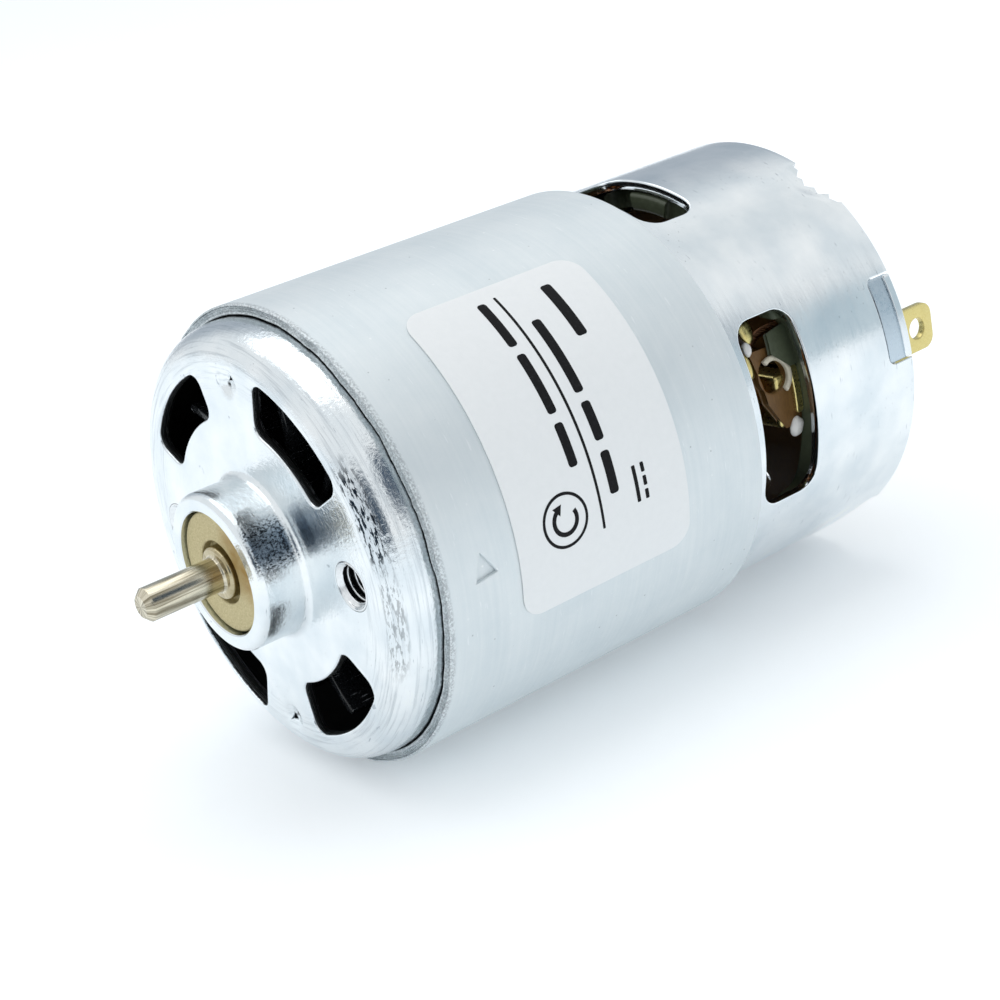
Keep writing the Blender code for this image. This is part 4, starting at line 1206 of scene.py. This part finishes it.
def build_moulding():
    """The olive ring that carries the brush gear: a wall with open bays and a rounded front edge."""
    inner, outer = 17.8, 19.7
    first, last = front("end_moulding"), rear("end_moulding")
    edge = 0.5
    profile = [(inner, first + edge)] + arc(inner + edge, first + edge, edge, 180, 270, 5)
    profile += arc(outer - edge, first + edge, edge, -90, 0, 5)
    profile += along((outer, first + 1.0), (outer, last - 0.3), 12)
    profile += arc(outer - 0.3, last - 0.3, 0.3, 0, 90, 3) + [(inner, last)]
    profile += along((inner, last - 0.5), (inner, first + 1.0), 12)
    ring = lathe("moulded_ring", profile, 240)
    for _, side in SIDES:
        for centre, span, depth in ((-3.0, 56.0, 2.0), (96.0, 12.0, 1.6), (70.0, 10.0, 0.8)):
            bay = rounded_rectangle(chord(span, outer), depth * 2, depth * 0.8, 0, first, 8, 12)
            cut(ring, punch("bay", bay, turned_surface(centre + side, can_out), 0.1, 6.0, 1.4))
    shade(ring, 35)
    finish_piece(ring, OLIVE, "end_moulding")


def build_card():
    """The brown laminate card behind the brushes, with its pigtail holes and four more holes."""
    loops = [circle(0, 0, 17.5, 120), circle(0, 0, 7.2, 72)]
    loops += [circle(x, z, 0.9, 24) for x, z in ((JOINT_X, JOINT_Z), (-JOINT_X, -JOINT_Z))]
    loops += [circle(*flat(13.6, angle), 1.1, 24) for angle in (62, 118, -62, -118)]
    middle = (front("brush_card") + rear("brush_card")) / 2
    card = flat_piece("laminate_card", loops, 1.6, 0.06, across(middle))
    finish_piece(card, LAMINATE, "brush_card")


def build_window_view(name, side):
    """What the brush window shows: a laminate carrier, its brass strip, a nylon lead guide and grease."""
    at = 18.2
    arm = radians(1) * at                     # millimetres to one degree at that radius
    hole_at, hole_back = 9.4 * arm, 48.1
    plate = [(-7.5, 48.9), (1.5, 47.0), (17.5, 46.2), (17.0, 51.6), (-7.5, 52.0)]
    plate = filled([(turn * arm, back) for turn, back in plate], 6)
    strip = rounded_rectangle(15.2 * arm, 0.95, 0.4, 3.2 * arm, 50.45)
    hook = arc(hole_at, hole_back, 2.05, -30, 150, 24) + arc(hole_at, hole_back, 1.5, 150, -30, 24)
    shield = [(11.5, 49.9), (16.5, 48.2), (22.0, 48.5), (23.5, 51.4), (11.5, 51.4)]
    shield = filled([(turn * arm, back) for turn, back in shield], 5)
    for label, material, loops, thickness, edge, out in (
            ("lead_carrier_", LAMINATE, [plate[::-1], circle(hole_at, hole_back, 1.7, 40)], 0.9, 0.15, -0.9),
            ("contact_strip_", BRASS, [strip], 0.5, 0.16, -0.22),
            ("lead_guide_", CREAM, [hook], 0.6, 0.2, -0.15),
            ("lead_shield_", OLIVE, [shield[::-1]], 0.5, 0.18, 0.1)):
        finish_piece(bent_piece(label + name, loops, thickness, edge, at + out, side), material)
    for label, material, angle, back, out, radii, seed in (
            ("grease_drop_", GREASE, -9.0, 50.1, 17.9, (0.50, 0.80, 1.05), 1.0),
            ("rivet_head_", GREASE, 20.3, 45.9, 18.0, (0.35, 0.50, 0.70), 5.0),
            ("lead_lug_", BRASS, 26.0, 46.9, 17.6, (0.35, 0.85, 1.3), 8.0),
            ("lead_bend_", BRASS, 15.6, 46.0, 17.2, (0.40, 0.55, 1.5), 11.0)):
        lump = blob(label + name, (0, 0, 0), radii, seed)
        spot = Matrix.Translation(Vector(place(out, angle, back)) * MM)
        lump.data.transform(turned_about(side) @ spot @ turned_about(angle))
        finish_piece(lump, material)


def build_end_plate():
    """The sunk rear plate with its bearing cup, vents, terminal slots and the lugs in the rim's notches."""
    plate_front, back, plate_r = 61.2, 62.4, 19.8
    cup_r, cup_rear, edge, hole = 7.6, rear("end_plate"), 0.6, 3.1
    profile = [(5.85, plate_front), (plate_r - 0.1, plate_front), (plate_r, plate_front + 0.1),
               (plate_r, back - 0.25)]
    profile += arc(plate_r - 0.25, back - 0.25, 0.25, 0, 90, 4)
    profile += along((plate_r - 0.6, back), (16.9, back), 6)
    profile += [(16.9, back), (16.6, back - 0.18), (16.2, back - 0.18), (15.9, back)]
    profile += along((15.5, back), (cup_r + edge + 0.3, back), 10)
    profile += arc(cup_r + edge, back + edge, edge, -90, -180, 8)
    profile += arc(cup_r - edge, cup_rear - edge, edge, 0, 90, 8)
    profile += along((cup_r - edge - 0.3, cup_rear), (hole + 0.2, cup_rear), 6)
    profile += arc(hole + 0.2, cup_rear - 0.2, 0.2, 90, 180, 3)
    profile += [(hole, cup_rear - 1.1), (5.85, cup_rear - 1.1)]
    plate = lathe("rear_plate", profile, 192)
    source = plate.data.copy()

    def rear_face(u, v, down):
        return (u, back - down, v)
    for _, side in SIDES:
        vent = rounded_sector(10.2, 15.6, 90 + side, 66, 1.5)
        cut(plate, punch("vent", vent, rear_face, 0.15, 2.0))
        slot = rounded_rectangle(3.4, 7.0, 0.6, TERMINAL_X * cos(radians(side)), 0)
        cut(plate, punch("slot", slot, rear_face, 0.1, 2.0))
    keep_shading(plate, source)
    finish_piece(plate, PLATE_ZINC, "end_plate")
    length = 2 * radians(NOTCH_SPAN / 2 - 0.3) * (CAN_R - 0.5)
    # the lugs take the darker, bluer zinc: painted shade in the notches
    for name, side in SIDES:
        for label, material, width, corner, middle, thickness, edge, sunk in (
                ("rim_lug_", SHADED_LUG_ZINC, 2.9, 0.4, 62.05, 0.7, 0.12, 0.5),
                ("rim_lip_", ZINC, 0.9, 0.2, 63.1, 0.3, 0.1, 0.13)):
            outline = rounded_rectangle(length, width, corner, 0, middle, 5, 12)
            finish_piece(bent_piece(label + name, [outline], thickness, edge, CAN_R - sunk,
                                    NOTCH_CENTRE + side), material)


# ------------------------------------------------------------------ pieces kept from the frame

KEPT = {
    FERRITE: ["magnet_upper", "magnet_lower"],
    SPRING: ["magnet_clip_right", "magnet_clip_left"],
    BRONZE: ["rear_bush"],
    CARBON: ["carbon_brush_right", "carbon_brush_left"],
    LAMINATION: ["armature_core"],
    GREEN_PLASTIC: ["insulator_front", "insulator_rear"],
    BAKELITE: ["commutator_hub"],
    NYLON: ["thrust_washer_front", "thrust_washer_rear"],
    BAR_COPPER: ["commutator_bar_%d" % (pole + 1) for pole in range(POLES)],
}


def dress_kept_nodes():
    for material, names in KEPT.items():
        for name in names:
            nodes[name].data.materials.clear()
            nodes[name].data.materials.append(material)


# ------------------------------------------------------------------ stage, light and camera


def build_stage():
    size, z = 3.0, -RING_R * MM
    mesh = bpy.data.meshes.new("floor")
    mesh.from_pydata([(-size, -size, z), (size, -size, z), (size, size, z), (-size, size, z)], [],
                     [(0, 1, 2, 3)])
    floor = add_object("floor", mesh)
    n = new_material("floor_paper")
    colour = n.mix(n.noise(0.05, 3.0), (0.90, 0.93, 0.95), (0.92, 0.95, 0.97))
    mesh.materials.append(n.done(colour, 0.9, Emission_Color=STUDIO_WHITE, Emission_Strength=0.18))


def build_light():
    """One large soft lamp above the motor, which draws the shadow under it."""
    light = bpy.data.lights.new("key", "AREA")
    light.shape = "RECTANGLE"
    light.size, light.size_y = 0.6, 0.6
    light.energy = 1.1
    lamp = add_object("key", light)
    lamp.location = (-0.14, 0.04, 0.62)
    lamp.rotation_euler = (Vector((0, 0.03, 0)) - lamp.location).to_track_quat("-Z", "Y").to_euler()


# dark panels of the studio that bright metal shows: azimuth, elevation, core and fade in degrees, colour
PANELS = ((25, 27, 6, 21, (0.045, 0.075, 0.12)),
          (44, 9, 4, 17, (0.58, 0.68, 0.74)),
          (-41, 12, 8, 27, (0.06, 0.09, 0.13)),
          (84, 50, 4, 18, (0.88, 0.91, 0.93)),
          (150, 10, 10, 50, (0.45, 0.50, 0.56)))


def build_world():
    """A white studio all round, with soft dark panels for the metal to reflect."""
    world = bpy.data.worlds.new("studio")
    n = Nodes(world, "Generated")
    colour = None
    for azimuth, elevation, core, fade, dark in PANELS:
        x, height, y = place(cos(radians(elevation)), azimuth, sin(radians(elevation)))
        towards = n.add("ShaderNodeVectorMath", operation="DOT_PRODUCT")
        facing = n.result(towards, {0: n.where, 1: (x, y, height)}, "Value")
        panel = n.ramp(facing, (cos(radians(fade)), STUDIO_WHITE), (cos(radians(core)), dark), mode="EASE")
        colour = n.mix(1.0, colour, panel, "DARKEN") if colour else panel
    # the panels light the motor, but the backdrop stays plain
    backdrop = n.result(n.add("ShaderNodeLightPath"), {}, "Is Camera Ray")
    colour = n.mix(backdrop, colour, BACKDROP_WHITE)
    n.result(n.tree.nodes["Background"], {"Color": colour, "Strength": 0.97}, 0)
    bpy.context.scene.world = world


CAMERA_PLACE = (155.645, -80.086, 63.681)
CAMERA_RIGHT = (0.60918, 0.77164, -0.18295)
CAMERA_UP = (-0.16591, 0.34960, 0.92209)
FOCAL_SENSORS = 2.066      # focal length as a multiple of the sensor's width


def build_camera():
    data = bpy.data.cameras.new("camera")
    data.sensor_width = 36.0
    data.lens = data.sensor_width * FOCAL_SENSORS
    data.clip_start = 0.005
    camera = add_object("camera", data)
    right, up = Vector(CAMERA_RIGHT).normalized(), Vector(CAMERA_UP).normalized()
    back = right.cross(up)
    up = back.cross(right)
    rotation = Matrix((right, up, back)).transposed().to_4x4()
    camera.matrix_world = Matrix.Translation(Vector(CAMERA_PLACE) * MM) @ rotation
    bpy.context.scene.camera = camera


build_can()
build_screw_collars()
build_ring()
build_label()
build_print()
build_bush()
build_shaft()
build_fan()
build_coils()
build_moulding()
build_card()
build_end_plate()
for side_name, side_angle in SIDES:
    for build in (build_brush_box, build_spring, build_pigtail, build_terminal, build_window_view):
        build(side_name, side_angle)
dress_kept_nodes()
build_stage()
build_world()
build_light()
build_camera()
bpy.context.scene.view_settings.view_transform = "Standard"
